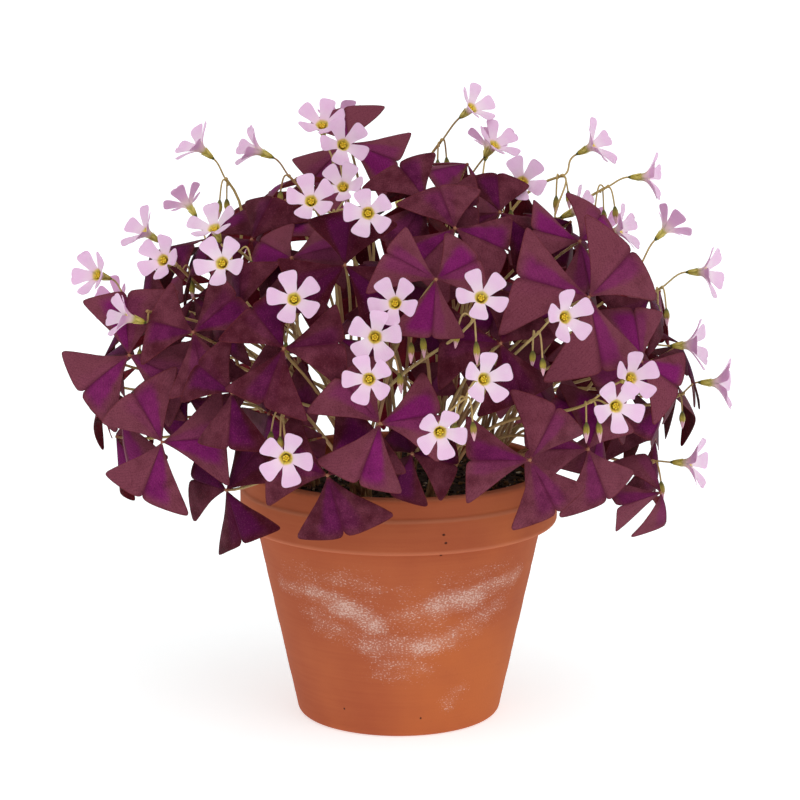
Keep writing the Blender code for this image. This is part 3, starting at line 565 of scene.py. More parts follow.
class Leaf:
    """One leaf: three folded leaflets on a hub, held up by a leaf stalk from a crown."""

    def __init__(self, hub, normal, turn, size, crown, slot, bow, furl, seed):
        chance = random.Random(seed)
        self.hub, self.normal, self.size, self.crown, self.seed = hub, normal, size, crown, seed
        self.fold = radians(chance.uniform(*LEAF_FOLD) + FURLED_FOLD * furl)
        self.droop = radians(chance.uniform(*LEAF_DROOP) + FURLED_DROOP * furl)
        self.notch = chance.uniform(*NOTCH_REACH)
        self.frames = [self.axes(radians(turn + 360 / LEAFLETS * k)) for k in range(LEAFLETS)]
        start, heading, length, sideways = setting_out(crown, slot, hub, bow)
        end = hub - normal * BLADE_DROP
        self.petiole = (
            start,
            start + UP * (0.5 * length) + heading * (0.08 * length) + sideways,
            end - normal * (0.3 * length) + sideways * 0.5,
            end,
        )

    def axes(self, angle):
        """Directions of the leaflet at this angle: along its midrib, across it, and out of its face."""
        seen_right = Vector((1, 0, 0))
        level = (seen_right - self.normal * seen_right.dot(self.normal)).normalized()
        lift = self.normal.cross(level)
        flat = level * cos(angle) + lift * sin(angle)
        along = flat * cos(self.droop) - self.normal * sin(self.droop)
        across = self.normal.cross(flat)
        return along, across, across.cross(-along).normalized()

    def point(self, k, reach, half_width):
        """A point of folded leaflet k, as shares of its size along the midrib and to one side of it."""
        along, across, out = self.frames[k]
        side = across * (half_width * cos(self.fold)) - out * (abs(half_width) * sin(self.fold))
        return self.hub + (along * reach + side) * self.size

    def ends(self):
        """The ends of the midribs, where the CAD model has corners."""
        return [self.point(k, self.notch, 0) for k in range(LEAFLETS)]

    def far_edge(self, swing):
        """Distance of the far edge from the hub, at a share of the way from the midrib to the side edge."""
        shoulder = FAR_EDGE[NOTCH_SIDE]
        if swing < SWINGS[NOTCH_SIDE]:
            climb = 0.15 + 0.85 * (swing / SWINGS[NOTCH_SIDE]) ** 0.5
            return self.notch + (shoulder - self.notch) * climb
        return float(np.interp(swing, SWINGS, FAR_EDGE))

    def leaflet(self, k):
        """Loops across leaflet k from the hub to its far edge, each over its face and back under it."""
        chance = random.Random(self.seed * 3 + k)
        arch = chance.uniform(-0.01, 0.045)
        swell = chance.uniform(0.015, 0.05)
        curls = (chance.uniform(-0.08, 0.03), chance.uniform(-0.08, 0.03))
        wave = chance.uniform(0.003, 0.011)
        phase = chance.uniform(0, 6)
        out = self.frames[k][2]
        loops = []
        for reach in REACHES:
            spread = CORNER_SPREAD * float(np.interp(reach, (0, 0.3, 0.6, 0.85), (0.78, 0.88, 0.97, 1)))
            top = []
            for swing in ACROSS:
                side = abs(swing)
                distance = reach * self.far_edge(side)
                lift = arch * sin(pi * reach) + swell * 4 * side * (1 - side) * reach
                lift += curls[swing > 0] * side**3 * reach**3
                lift += wave * sin(9 * reach + 5 * swing + phase) * side * reach
                angle = swing * spread
                flat = self.point(k, distance * cos(angle), distance * sin(angle))
                top.append(flat + out * (lift * self.size))
            loops.append(top + [point - out * BLADE for point in reversed(top)])
        return loops


def over_and_back(rows, columns):
    """The place of each point of a blade's loops: its row, its column, and 1 on the face or 0 behind."""

    def place(row, i):
        face = i < len(columns)
        return rows[row], columns[i if face else 2 * len(columns) - 1 - i], 1 if face else 0

    return place


# Lit and shaded copies of the blade's brown, violet and underside red, for painted light and shade.
BROWN_LIT = colour(121, 62, 76)
BROWN_SHADED = colour(68, 16, 30)
VIOLET = colour(124, 28, 99)
VIOLET_SHADED = colour(80, 14, 62)
UNDER_RED = colour(126, 30, 44)
UNDER_SHADED = colour(66, 11, 23)
VEIN = colour(66, 20, 42)
FLECK_DARK = colour(54, 20, 34)
FLECK_LIT = colour(146, 80, 94)
CREASE_SHADE = colour(58, 10, 30)
MIDRIB = colour(88, 26, 56)
HUB_TAN = colour(140, 76, 60)
MARGIN = colour(96, 40, 40)

blade, spot = new_finish("leaf_blade", {"Specular IOR Level": 0.06})
reach, swing, upper = spot.look("place")
leaf_light, left_patch, right_patch = spot.look("mood")
side = abs(swing)
mottle = spot.grain(7 * MM, 3)
fine = spot.grain(0.55 * MM, 2)
patch_share = swing.rise(-0.02, 0.02)
strength = left_patch + (right_patch - left_patch) * patch_share
# Painted light and shade: each leaf, and each half of a leaflet by the strength of its patch, gets a lit or
# a shaded copy of the brown in place of the light falling on the folded blades, varied by random mottle.
lit = (leaf_light * 0.75 + (1 - strength) * 0.25 + (mottle - 0.5) * 1.1).rise(0.0, 0.95)
base = lit.cover(BROWN_SHADED, BROWN_LIT)
# The violet patch also has a lit and a shaded copy, chosen by the same painted light.
patch_colour = (leaf_light * 0.7 + (mottle - 0.5) * 0.8).rise(0, 0.75).cover(VIOLET_SHADED, VIOLET)
outline = 0.45 + strength * 0.5 - reach * 0.22 + (mottle - 0.5) * 0.3
patch = side.rise(outline + 0.14, outline - 0.14) * reach.rise(0.02, 0.16) * reach.rise(1.0, 0.8)
base = (patch * strength.rise(0, 0.85) * 0.92).cover(base, patch_colour)
# The underside mixes a shaded and a lit red by the same painted light; its red is partly a painted glow of
# light through the thin blade.
under = (leaf_light * 0.7 + (mottle - 0.5) * 0.9).rise(0.05, 0.8).cover(UNDER_SHADED, UNDER_RED)
base = upper.cover(under, base)
branch = reach - (side / 1.5) ** 1.35 + (mottle - 0.5) * 0.02
veins = branch.sum("PINGPONG", branch * 13, 0.5).rise(0.13, 0.0)
veins = veins * side.rise(0.02, 0.12) * reach.rise(0.04, 0.2)
base = (veins * (mottle * 0.4 - 0.04)).cover(base, VEIN)
base = ((fine - 0.5).rise(-0.05, 0.25) * 0.4).cover(base, FLECK_DARK)
base = ((0.5 - fine).rise(0.05, 0.3) * 0.3).cover(base, FLECK_LIT)
# Painted shade: the blade is darker along the fold at the midrib and towards the hub, where less light
# reaches.
fold_and_hub_shade = greatest(side.rise(0.16, 0.0), reach.rise(0.34, 0.05))
base = (fold_and_hub_shade * 0.42).cover(base, CREASE_SHADE)
midrib = side.rise(0.045, 0.0)
base = (midrib * 0.45).cover(base, MIDRIB)
hub_tan = reach.rise(0.07, 0.02)
base = (hub_tan * 0.5).cover(base, HUB_TAN)
margin = greatest(reach.rise(0.972, 1.0), side.rise(0.975, 1.0) * reach.rise(0.1, 0.4))
base = (margin * 0.5).cover(base, MARGIN)
relief = (0 - veins) * 0.35 - midrib * 0.8 + fine * 0.35 + mottle * 0.6
lay_on(blade, base, 0.52 + fine * 0.16 + (1 - upper) * 0.1, relief, 0.22 * MM)

STALK_LOW = colour(142, 92, 62)
STALK_HIGH = colour(184, 154, 92)
STALK_PALE = colour(206, 182, 124)
STALK_RUDDY = colour(132, 62, 48)
STALK_LINES = colour(110, 78, 44)
KNOT_BROWN = colour(136, 72, 58)

stalk_skin, spot = new_finish("stalk_skin", {"Specular IOR Level": 0.45})
along, knot, _ = spot.look("place")
ruddy, pale, _ = spot.look("mood")
fibres = spot.grain(0.5 * MM, 2, (1, 1, 9))
flecks = spot.grain(4 * MM, 2)
base = along.rise(0.0, 0.75).cover(STALK_LOW, STALK_HIGH)
base = (pale * 0.6).cover(base, STALK_PALE)
base = ((ruddy * 0.8 + (flecks - 0.5)).rise(0.2, 1.0) * 0.6).cover(base, STALK_RUDDY)
base = (fibres.rise(0.45, 0.75) * 0.3).cover(base, STALK_LINES)
base = (knot * 0.8).cover(base, KNOT_BROWN)
lay_on(stalk_skin, base, 0.5 + fibres * 0.2, fibres, 0.1 * MM)


def leaf_pieces(crown, leaves):
    """The blades that grow from one crown, and their stalks with the knots that hold the leaflets."""
    blades = Form()
    stalks = Form()
    for leaf in leaves:
        chance = random.Random(leaf.seed + 5)
        # How much painted light this leaf gets, at random.
        leaf_light = chance.random()
        ruddy = chance.random()
        for k in range(LEAFLETS):
            violet = [chance.uniform(0.4, 1), chance.uniform(0, 0.5)]
            chance.shuffle(violet)
            blades.skin(leaf.leaflet(k), over_and_back(REACHES, ACROSS), (leaf_light, *violet))
        path = bezier(leaf.petiole, LEAF_STALK_CUTS)
        radii = [LEAF_STALK_RADIUS - LEAF_STALK_TAPER * n for n in range(len(path))]
        path += [leaf.hub + leaf.normal * (lift * MM) for lift, _ in KNOT]
        radii += [radius * MM for _, radius in KNOT]
        last = len(path) - 1
        mood = (ruddy, chance.random(), 0)
        knot_row = last - len(KNOT)
        loops = rings(path, radii, STALK_SIDES)
        stalks.skin(loops, lambda row, i: (row / last * 0.8, row >= knot_row, 0), mood)
    node = f"crown_{crown + 1:02d}"
    blades.piece(f"leaves_{crown + 1:02d}", blade, "leaf_purple", node)
    stalks.piece(f"leaf_stalks_{crown + 1:02d}", stalk_skin, "leaf_purple", node)


# Flower stalks, cups and buds.
# A bare stalk rises from the corm to a joint, where thin stalks part, each with a flower or a hanging bud.
# Five narrow green sepals cup each flower's tube, and the buds show pink where the rolled petals push out.
PETALS = 5
CALYX_LENGTH = 3.5 * MM
THROAT_LENGTH = 5.5 * MM
BLOOM_RADIUS = 13 * MM
PETAL_REACH = 0.95
PETAL_HALF_WIDTH = 0.27
# Where a petal bends out of the tube, as a share of the bloom's size
PETAL_HINGE = 0.15
FORK_DEPTH = 19 * MM
SCAPE_STEPS = 3
# A sepal's height above the flower's base, distance from its axis and half width, all in mm
SEPAL = (
    (1.0, 1.05, 0.4), (2.0, 1.28, 0.66), (3.1, 1.5, 0.76),
    (4.3, 1.75, 0.62), (5.4, 2.02, 0.32), (6.0, 2.2, 0.05),
)
SEPAL_ACROSS = (-1, -0.5, 0, 0.5, 1)
SEPAL_THICKNESS = 0.22 * MM
# A cup's height above the flower's base and its radius, in mm
CUP = ((-0.3, 0.48), (0.3, 0.72), (1.0, 0.92), (2.0, 1.12), (3.0, 1.28), (3.8, 1.26))
# A bud's share of the way from neck to tip, and its radius in mm
BUD = (
    (-0.06, 0.4), (0, 0.62), (0.08, 0.95), (0.2, 1.25), (0.34, 1.42), (0.48, 1.35),
    (0.62, 1.05), (0.74, 0.8), (0.86, 0.55), (0.95, 0.3), (1.0, 0.08),
)
SCAPE_RADIUS = 0.95 * MM
SCAPE_TAPER = 0.016 * MM
SCAPE_CUTS = 20
# The knuckle at the end of a flower stalk: how far past the joint and how wide, in mm
KNUCKLE = ((0.6, 0.95), (1.2, 0.75), (1.6, 0.15))
PEDICEL_RADIUS = 0.47 * MM
BUD_STALK_RADIUS = 0.42 * MM
THIN_CUTS = 12
THIN_SIDES = 6
CUP_SIDES = 10
# A cup's green pales over this many mm
GREEN_LENGTH = 9
# Least and most: a bloom's size as a share of the usual, its petals' rise in degrees, and in mm how far a
# bud's stalk goes out and then down, and how long the bud is
BLOOM_SIZES = (0.95, 1.08)
PETAL_RISE = (30, 42)
BUD_REACH = (4, 7)
BUD_DROP = (6, 11)
BUD_LENGTH = (7.5, 10)
# The dome that the leaves and sprays end on
DOME_CENTRE = Vector((0, 0, 165 * MM))
DOME_RADII = Vector((140 * MM, 132 * MM, 100 * MM))


class Bloom:
    """One open flower: its place is the mouth of its throat, and it faces along its axis."""

    def __init__(self, mouth, axis, joint, heading, size, turn, rise):
        self.mouth, self.axis, self.size, self.turn = mouth, axis.normalized(), size, turn
        self.rise = radians(rise)
        self.seat = mouth - self.axis * THROAT_LENGTH
        base = self.seat - self.axis * CALYX_LENGTH
        length = (base - joint).length
        self.pedicel = (
            joint,
            joint + heading * (0.35 * length),
            base - self.axis * (0.35 * length),
            base,
        )

    def axes(self, k):
        """Directions of petal k: out from the axis, and across the petal."""
        level = self.axis.orthogonal().normalized()
        other = self.axis.cross(level)
        angle = self.turn + radians(360 / PETALS * k)
        out = level * cos(angle) + other * sin(angle)
        return out, self.axis.cross(out)

    def at(self, k, out, across):
        """A point of petal k, measured from the mouth as shares of the bloom's size."""
        away, sideways = self.axes(k)
        along = away * cos(self.rise) + self.axis * sin(self.rise)
        narrowed = across * (0.35 + 0.65 * cos(self.rise))
        bent = away * PETAL_HINGE + along * (out - PETAL_HINGE) + sideways * narrowed
        return self.mouth + bent * self.size


def outward(point):
    """The way out of the dome at a point."""
    offset = point - DOME_CENTRE
    return Vector([offset[i] / DOME_RADII[i] ** 2 for i in range(3)]).normalized()


class Spray:
    """A bare stalk from a crown to the joint, and from there blooms and hanging buds on thin stalks."""

    def __init__(self, joint, blooms, bud_count, crown, slot, bow, lean, seed):
        chance = random.Random(seed)
        self.crown, self.seed = crown, seed
        start, heading, length, sideways = setting_out(crown, slot, joint, bow)
        mouths = sum((mouth for mouth, _ in blooms), Vector()) / len(blooms)
        self.heading = ((mouths - joint).normalized() + UP * 0.4 + heading * 0.3).normalized()
        self.scape = (
            start,
            start + UP * (0.55 * length) + heading * (lean * length) + sideways,
            joint - self.heading * (0.3 * length) + sideways * 0.4,
            joint,
        )
        below = (bezier(self.scape, SCAPE_STEPS)[-2] - joint).normalized()
        parting = joint + below * (0.6 * MM)
        self.blooms = []
        for mouth, axis in blooms:
            size = BLOOM_RADIUS * chance.uniform(*BLOOM_SIZES)
            turn, rise = chance.uniform(0, 6), chance.uniform(*PETAL_RISE)
            self.blooms.append(Bloom(mouth, axis, parting, self.heading, size, turn, rise))
        self.buds = []
        first = chance.uniform(0, tau)
        for k in range(bud_count):
            angle = first + tau * (k + chance.uniform(-0.15, 0.15)) / bud_count
            flat = Vector((cos(angle), sin(angle), 0))
            flat = (flat + outward(joint) * 0.5).normalized()
            reach = chance.uniform(*BUD_REACH) * MM
            drop = chance.uniform(*BUD_DROP) * MM
            fork = joint + below * ((1.3 * k + 1.5) * MM)
            top = fork + flat * (0.75 * reach) + UP * (1 * MM)
            neck = fork + flat * (1.1 * reach) - UP * drop
            tip = neck + flat * (1 * MM) - UP * (chance.uniform(*BUD_LENGTH) * MM)
            self.buds.append((fork, top, neck, tip))

    def ends(self):
        """The corners that the CAD model has at the ends of the petals."""
        return [bloom.at(k, PETAL_REACH, PETAL_HALF_WIDTH) for bloom in self.blooms for k in range(PETALS)]


def bare_stalks(form, spray, chance):
    """The stalk to the joint with the small knuckle there, and the stalks of its flowers and buds."""
    path = bezier(spray.scape, SCAPE_CUTS)
    radii = [SCAPE_RADIUS - SCAPE_TAPER * n for n in range(len(path))]
    up_path = (path[-1] - path[-2]).normalized()
    path += [path[-1] + up_path * (lift * MM) for lift, _ in KNUCKLE]
    radii += [radius * MM for _, radius in KNUCKLE]
    last = len(path) - 1
    mood = (chance.random(), chance.random(), 0)
    form.skin(rings(path, radii, STALK_SIDES), lambda row, i: (row / last, 0, 0), mood)
    for bloom in spray.blooms:
        path = bezier(bloom.pedicel, THIN_CUTS)
        form.skin(rings(path, [PEDICEL_RADIUS] * len(path), THIN_SIDES), lambda row, i: (1, 0, 0), mood)
    for fork, top, neck, tip in spray.buds:
        path = bezier((fork, top + UP * (2.5 * MM), top.lerp(neck, 0.35) + UP * MM, neck), THIN_CUTS)
        form.skin(rings(path, [BUD_STALK_RADIUS] * len(path), THIN_SIDES), lambda row, i: (1, 0, 0), mood)


def spindle(start, way, steps, sides):
    """Loops round a straight line, from steps along it and their radii, in mm."""
    path = [start + way * (lift * MM) for lift, _ in steps]
    return rings(path, [radius * MM for _, radius in steps], sides)


def cup(form, bloom, mood):
    """The green base of a flower and its five sepals, which lie on the tube."""
    base = bloom.seat - bloom.axis * CALYX_LENGTH
    loops = spindle(base, bloom.axis, CUP, CUP_SIDES)
    form.skin(loops, lambda row, i: (CUP[row][0] / GREEN_LENGTH, 0, 0), mood)
    for k in range(PETALS):
        away, sideways = bloom.axes(k + 0.5)
        loops = []
        for lift, out, width in SEPAL:
            top = []
            for share in SEPAL_ACROSS:
                bend = (1 - cos(share * width / out)) * out
                offset = bloom.axis * lift + away * (out - bend) + sideways * (share * width)
                top.append(base + offset * MM)
            loops.append(top + [point - away * SEPAL_THICKNESS for point in reversed(top)])
        form.skin(loops, lambda row, i: (0.2 + 0.16 * row, 1, 0), mood)


def hanging_bud(form, neck, tip, mood):
    """A spindle of sepals with the rolled petals showing at its end."""
    path = [neck.lerp(tip, share) for share, _ in BUD]
    loops = rings(path, [radius * MM for _, radius in BUD], CUP_SIDES, PETALS)
    form.skin(loops, lambda row, i: (BUD[row][0], i / CUP_SIDES, 0), mood)


OLIVE_DARK = colour(84, 84, 34)
OLIVE = colour(176, 156, 58)
OLIVE_LIGHT = colour(216, 198, 108)
BUD_BROWN = colour(140, 98, 62)
BUD_PINK = colour(226, 170, 186)
BUD_TIP = colour(206, 130, 150)

cup_green, spot = new_finish("cup_green", {"Specular IOR Level": 0.4})
along, _, _ = spot.look("place")
tint, _, _ = spot.look("mood")
fibres = spot.grain(0.5 * MM, 2)
base = (along + (tint - 0.5) * 0.1).rise(0.02, 0.26).cover(OLIVE_DARK, OLIVE)
base = along.rise(0.25, 0.75).cover(base, OLIVE_LIGHT)
base = (along.rise(0.9, 1.0) * 0.5).cover(base, BUD_BROWN)
base = (fibres.rise(0.45, 0.75) * 0.25).cover(base, OLIVE_DARK)
lay_on(cup_green, base, 0.5 + fibres * 0.2, fibres, 0.12 * MM)

bud_skin, spot = new_finish("bud_skin", {"Specular IOR Level": 0.4})
along, around, _ = spot.look("place")
tint, pink, _ = spot.look("mood")
fibres = spot.grain(0.45 * MM, 2)
sepals = (around.sum("PINGPONG", around * 5, 0.5) * 0.3 + along + pink * 0.14).rise(0.66, 0.76)
base = along.rise(-0.05, 0.45).cover(OLIVE_DARK, OLIVE)
base = ((tint * 0.9).rise(0.2, 0.9) * along.rise(0.1, 0.6) * 0.8).cover(base, BUD_BROWN)
base = sepals.cover(base, BUD_PINK)
base = (along.rise(0.9, 1.0) * 0.5).cover(base, BUD_TIP)
base = (fibres.rise(0.45, 0.75) * 0.3).cover(base, OLIVE_DARK)
lay_on(bud_skin, base, 0.5 + fibres * 0.2, fibres, 0.12 * MM)


def spray_pieces(crown, sprays):
    """The flower stalks, cups and buds that grow from one crown."""
    stalks = Form()
    cups = Form()
    buds = Form()
    for spray in sprays:
        chance = random.Random(spray.seed + 9)
        bare_stalks(stalks, spray, chance)
        for bloom in spray.blooms:
            cup(cups, bloom, (chance.random(), 0, 0))
        for fork, top, neck, tip in spray.buds:
            hanging_bud(buds, neck, tip, (chance.random(), chance.random(), 0))
    node = f"crown_{crown + 1:02d}"
    kinds = (stalks, "flower_stalks", stalk_skin), (cups, "cups", cup_green), (buds, "buds", bud_skin)
    for form, name, skin in kinds:
        if form.points:
            form.piece(f"{name}_{crown + 1:02d}", skin, "leaf_purple", node)


# Flowers.
# Five soft pink petals, rolled together into a tube below and spread above, with a yellow-green throat.
# Each petal is a broad spoon, paler towards the throat, and a cluster of tiny anthers stands in the tube.
PETAL = 0.22 * MM
PETAL_ACROSS = (-1, -0.82, -0.5, -0.2, 0.2, 0.5, 0.82, 1)
# The spread part of a petal as shares of the bloom's size: how far out, and half its width
PETAL_SPREAD = (
    (0.5, 0.215), (0.6, 0.25), (0.7, 0.28), (0.79, 0.3), (0.87, 0.302),
    (0.93, 0.28), (0.97, 0.235), (0.993, 0.16), (1.0, 0.07),
)
# The petal in the tube: distance from the axis, height above the mouth and half width, in mm
PETAL_TUBE = ((1.0, -5.6, 0.66), (1.2, -4.4, 0.8), (1.45, -3.1, 0.96))
FLARE_STEPS = 6
FLARE_HALF_WIDTH = 1.2 * MM
# Past this row each petal has a breadth of its own
BROAD_ROW = 6
LEAST_BEND = 0.001
# The pistil's heights from the mouth and its radii, in mm
PISTIL = ((-5.4, 0.5), (-4.4, 0.75), (-3.0, 0.65), (-0.6, 0.55), (-0.1, 0.15))
# An anther's heights up from its foot and its radii, in mm
ANTHER = ((0, 0.12), (0.7, 0.14), (0.9, 0.36), (1.2, 0.42), (1.5, 0.28), (1.6, 0.05))
ANTHERS = 10
# How high the long and the short anthers stand, and how far from the axis, in mm
ANTHER_PLACES = ((-0.1, 1.15), (-0.9, 0.95))


def petal_loops(bloom, k):
    """Loops across petal k from the bottom of the tube to its end, each over its front and back behind."""
    chance = random.Random(bloom.seed * 5 + k)
    broad = chance.uniform(0.94, 1.06)
    cupping = chance.uniform(-0.02, 0.09)
    twist = chance.uniform(0.0, 0.06)
    recurve = chance.uniform(0.06, 0.2)
    sickle = chance.uniform(-0.03, 0.03)
    size = bloom.size
    climb = sin(bloom.rise)
    away_share = cos(bloom.rise)
    away, sideways = bloom.axes(k)

    def spread(out):
        beyond = out - PETAL_HINGE
        return Vector((PETAL_HINGE + beyond * away_share, beyond * climb)) * size

    # Each station is its distance from the axis, height above the mouth, half width and share of the bend
    stations = [(radius * MM, level * MM, half * MM, 1) for radius, level, half in PETAL_TUBE]
    throat = Vector((1.7 * MM, -1.9 * MM)), Vector((2.0 * MM, -0.4 * MM))
    flare = bezier((*throat, spread(0.29), spread(0.5)), FLARE_STEPS)
    for n, point in enumerate(flare[:-1]):
        t = n / FLARE_STEPS
        half = FLARE_HALF_WIDTH * (1 - t) + PETAL_SPREAD[0][1] * size * t
        stations.append((point.x, point.y, half, 1 - t * 0.9))
    for out, half in PETAL_SPREAD:
        point = spread(out)
        past = (out - 0.5) / 0.5
        drop = recurve * size * past * past * 0.5
        stations.append((point.x, point.y - drop, half * size, 0.1 * (1 - past)))
    loops = []
    for n, (radius, level, half, bend) in enumerate(stations):
        ahead = stations[min(n + 1, len(stations) - 1)]
        behind = stations[max(n - 1, 0)]
        slope = Vector((ahead[0] - behind[0], ahead[1] - behind[1])).normalized()
        back = (away * slope.y - bloom.axis * slope.x) * PETAL
        front = bloom.axis * slope.x - away * slope.y
        blade_share = 1 - bend
        front_points = []
        for share in PETAL_ACROSS:
            width = share * half * (broad if n > BROAD_ROW else 1)
            angle = width * max(bend, LEAST_BEND) / radius
            curve = radius / max(bend, LEAST_BEND)
            point = bloom.mouth + bloom.axis * level
            point += away * (radius - curve * (1 - cos(angle))) + sideways * (curve * sin(angle))
            point += sideways * (sickle * size * blade_share * (radius / size) ** 2)
            point += front * (share * share * cupping * size * blade_share * 0.6 - share * 0.11 * MM)
            point += front * (share * twist * size * blade_share * 0.5)
            front_points.append(point)
        loops.append(front_points + [point + back for point in reversed(front_points)])
    return loops


PETAL_ROWS = (0, 0.1, 0.2, 0.27, 0.31, 0.36, 0.42, 0.48, 0.54) + tuple(0.6 + 0.4 * n / 8 for n in range(9))
PINK = colour(238, 196, 226)
PINK_DEEP = colour(222, 164, 206)
PINK_PALE = colour(245, 217, 234)
BACK_PINK = colour(224, 172, 208)
THROAT_YELLOW = colour(222, 196, 92)
THROAT_GREEN = colour(204, 180, 58)
BACK_PALE = colour(236, 196, 204)
BACK_OLIVE = colour(186, 172, 84)
ANTHER_YELLOW = colour(238, 206, 62)

petal, spot = new_finish("petal", {
    "Specular IOR Level": 0.25,
    "Subsurface Weight": 0.5,
    "Subsurface Radius": (1.0, 0.7, 0.9),
    "Subsurface Scale": 1.2 * MM,
})
along, across, front = spot.look("place")
tint, _, heart = spot.look("mood")
soft = spot.grain(3 * MM, 2)
crepe = spot.grain(0.4 * MM, 2)
lines = abs((across + (soft - 0.5) * 0.08).sum("SINE", across * 16)).rise(0.35, 0.0) * along.rise(0.4, 0.6)
face = along.rise(0.5, 0.72).cover(PINK_PALE, PINK)
face = (along.rise(0.86, 1.0) * 0.45 + tint * 0.3).cover(face, PINK_DEEP)
face = along.rise(0.45, 0.36).cover(face, THROAT_YELLOW)
face = along.rise(0.37, 0.29).cover(face, THROAT_GREEN)
behind = along.rise(0.35, 0.62).cover(BACK_PALE, BACK_PINK)
behind = along.rise(0.36, 0.16).cover(behind, BACK_OLIVE)
base = front.cover(behind, face)
base = (lines * 0.4 * along.rise(1.05, 0.7)).cover(base, PINK_DEEP)
base = ((soft - 0.5).rise(0, 0.3) * 0.2).cover(base, PINK_PALE)
base = heart.cover(base, ANTHER_YELLOW)
lay_on(petal, base, 0.6 + crepe * 0.15, lines * 0.5 + crepe * 0.3, 0.08 * MM)


def flower(number, bloom):
    """One flower: its petals, and in the tube its short pistil and ten anthers."""
    form = Form()
    chance = random.Random(bloom.seed)
    tint = chance.random()
    for k in range(PETALS):
        form.skin(petal_loops(bloom, k), over_and_back(PETAL_ROWS, PETAL_ACROSS), (tint, 0, 0))
    form.skin(spindle(bloom.mouth, bloom.axis, PISTIL, THIN_SIDES), mood=(tint, 0, 1))
    for n in range(ANTHERS):
        away, _ = bloom.axes(n / 2)
        level, out = ANTHER_PLACES[n % 2]
        foot = bloom.mouth + bloom.axis * ((level - 1.2) * MM) + away * (out * 0.8 * MM)
        form.skin(spindle(foot, bloom.axis + away * 0.15, ANTHER, THIN_SIDES), mood=(tint, 0, 1))
    form.piece(f"flower_{number:02d}", petal, "petal_pink", f"bloom_{number:02d}")


# Where the leaves and sprays stand.
# They hold their places by their own stalks. Each is sought as the CAD model sought it, by the same draws,
# and is taken where the model has it: where the model has corners at the ends of its midribs or petals.
VIEW_CENTRE = 400
VIEW_FOCAL = 3000
VIEW_DISTANCE = 1.4125
PLACES_RISE = radians(11.7)
VIEW_AIM = Vector((0.6 * MM, 0, 150.6 * MM))
# Place of the hub in the front view in pixels, turn in degrees, length of a leaflet in mm, depth behind the
# dome in mm, and how far the face leans aside and up in degrees
FRONT_LEAVES = (
    (129, 355, 215, 37, -10, 20, -5),
    (162, 442, 5, 35, -6, 10, 0),
    (589, 297, 45, 42, -8, 0, -8),
    (509, 335, 60, 34, 12, 0, 0),
    (349, 143, 339, 32, 20, 0, 0),
    (374, 421, 6, 36, -6, 0, 0),
    (327, 476, 43, 37, -4, 0, 0),
    (530, 460, 60, 34, -3, 0, 0),
    (446, 283, 40, 34, -4, 0, 0),
    (288, 347, 10, 34, -3, 0, 0),
    (234, 398, 23, 32, 3, 0, 0),
    (300, 430, 95, 25, 34, 0, 0),
    (247, 455, 18, 34, 0, 0, 0),
    (608, 458, 65, 35, -2, 0, 0),
    (560, 375, 80, 28, 24, 0, 0),
    (455, 362, 110, 28, 26, 0, 0),
    (410, 463, 350, 32, 6, 0, 0),
    (684, 450, 60, 32, -8, 15, 0),
    (606, 312, 305, 34, 6, 0, 0),
    (455, 228, 105, 33, 0, 0, 0),
    (290, 232, 25, 32, 2, 0, 0),
    (240, 225, 70, 31, 4, 0, 0),
    (640, 360, 335, 31, 12, 0, 0),
    (650, 300, 350, 28, 14, 20, 0),
    (425, 200, 0, 31, 4, 0, 0),
    (193, 332, 40, 32, 3, 0, 0),
    (180, 400, 90, 28, 22, 0, 0),
    (500, 212, 90, 28, 10, 0, 0),
    (578, 248, 45, 30, 8, 0, 0),
    (345, 265, 85, 33, 5, 0, 0),
    (338, 345, 90, 26, 34, 0, 0),
    (630, 432, 25, 32, 8, 0, 0),
    (225, 290, 95, 32, 3, 0, 0),
    (395, 262, 20, 31, 3, 0, 0),
    (520, 270, 20, 31, 8, 0, 0),
    (680, 390, 10, 30, 8, 20, 0),
)
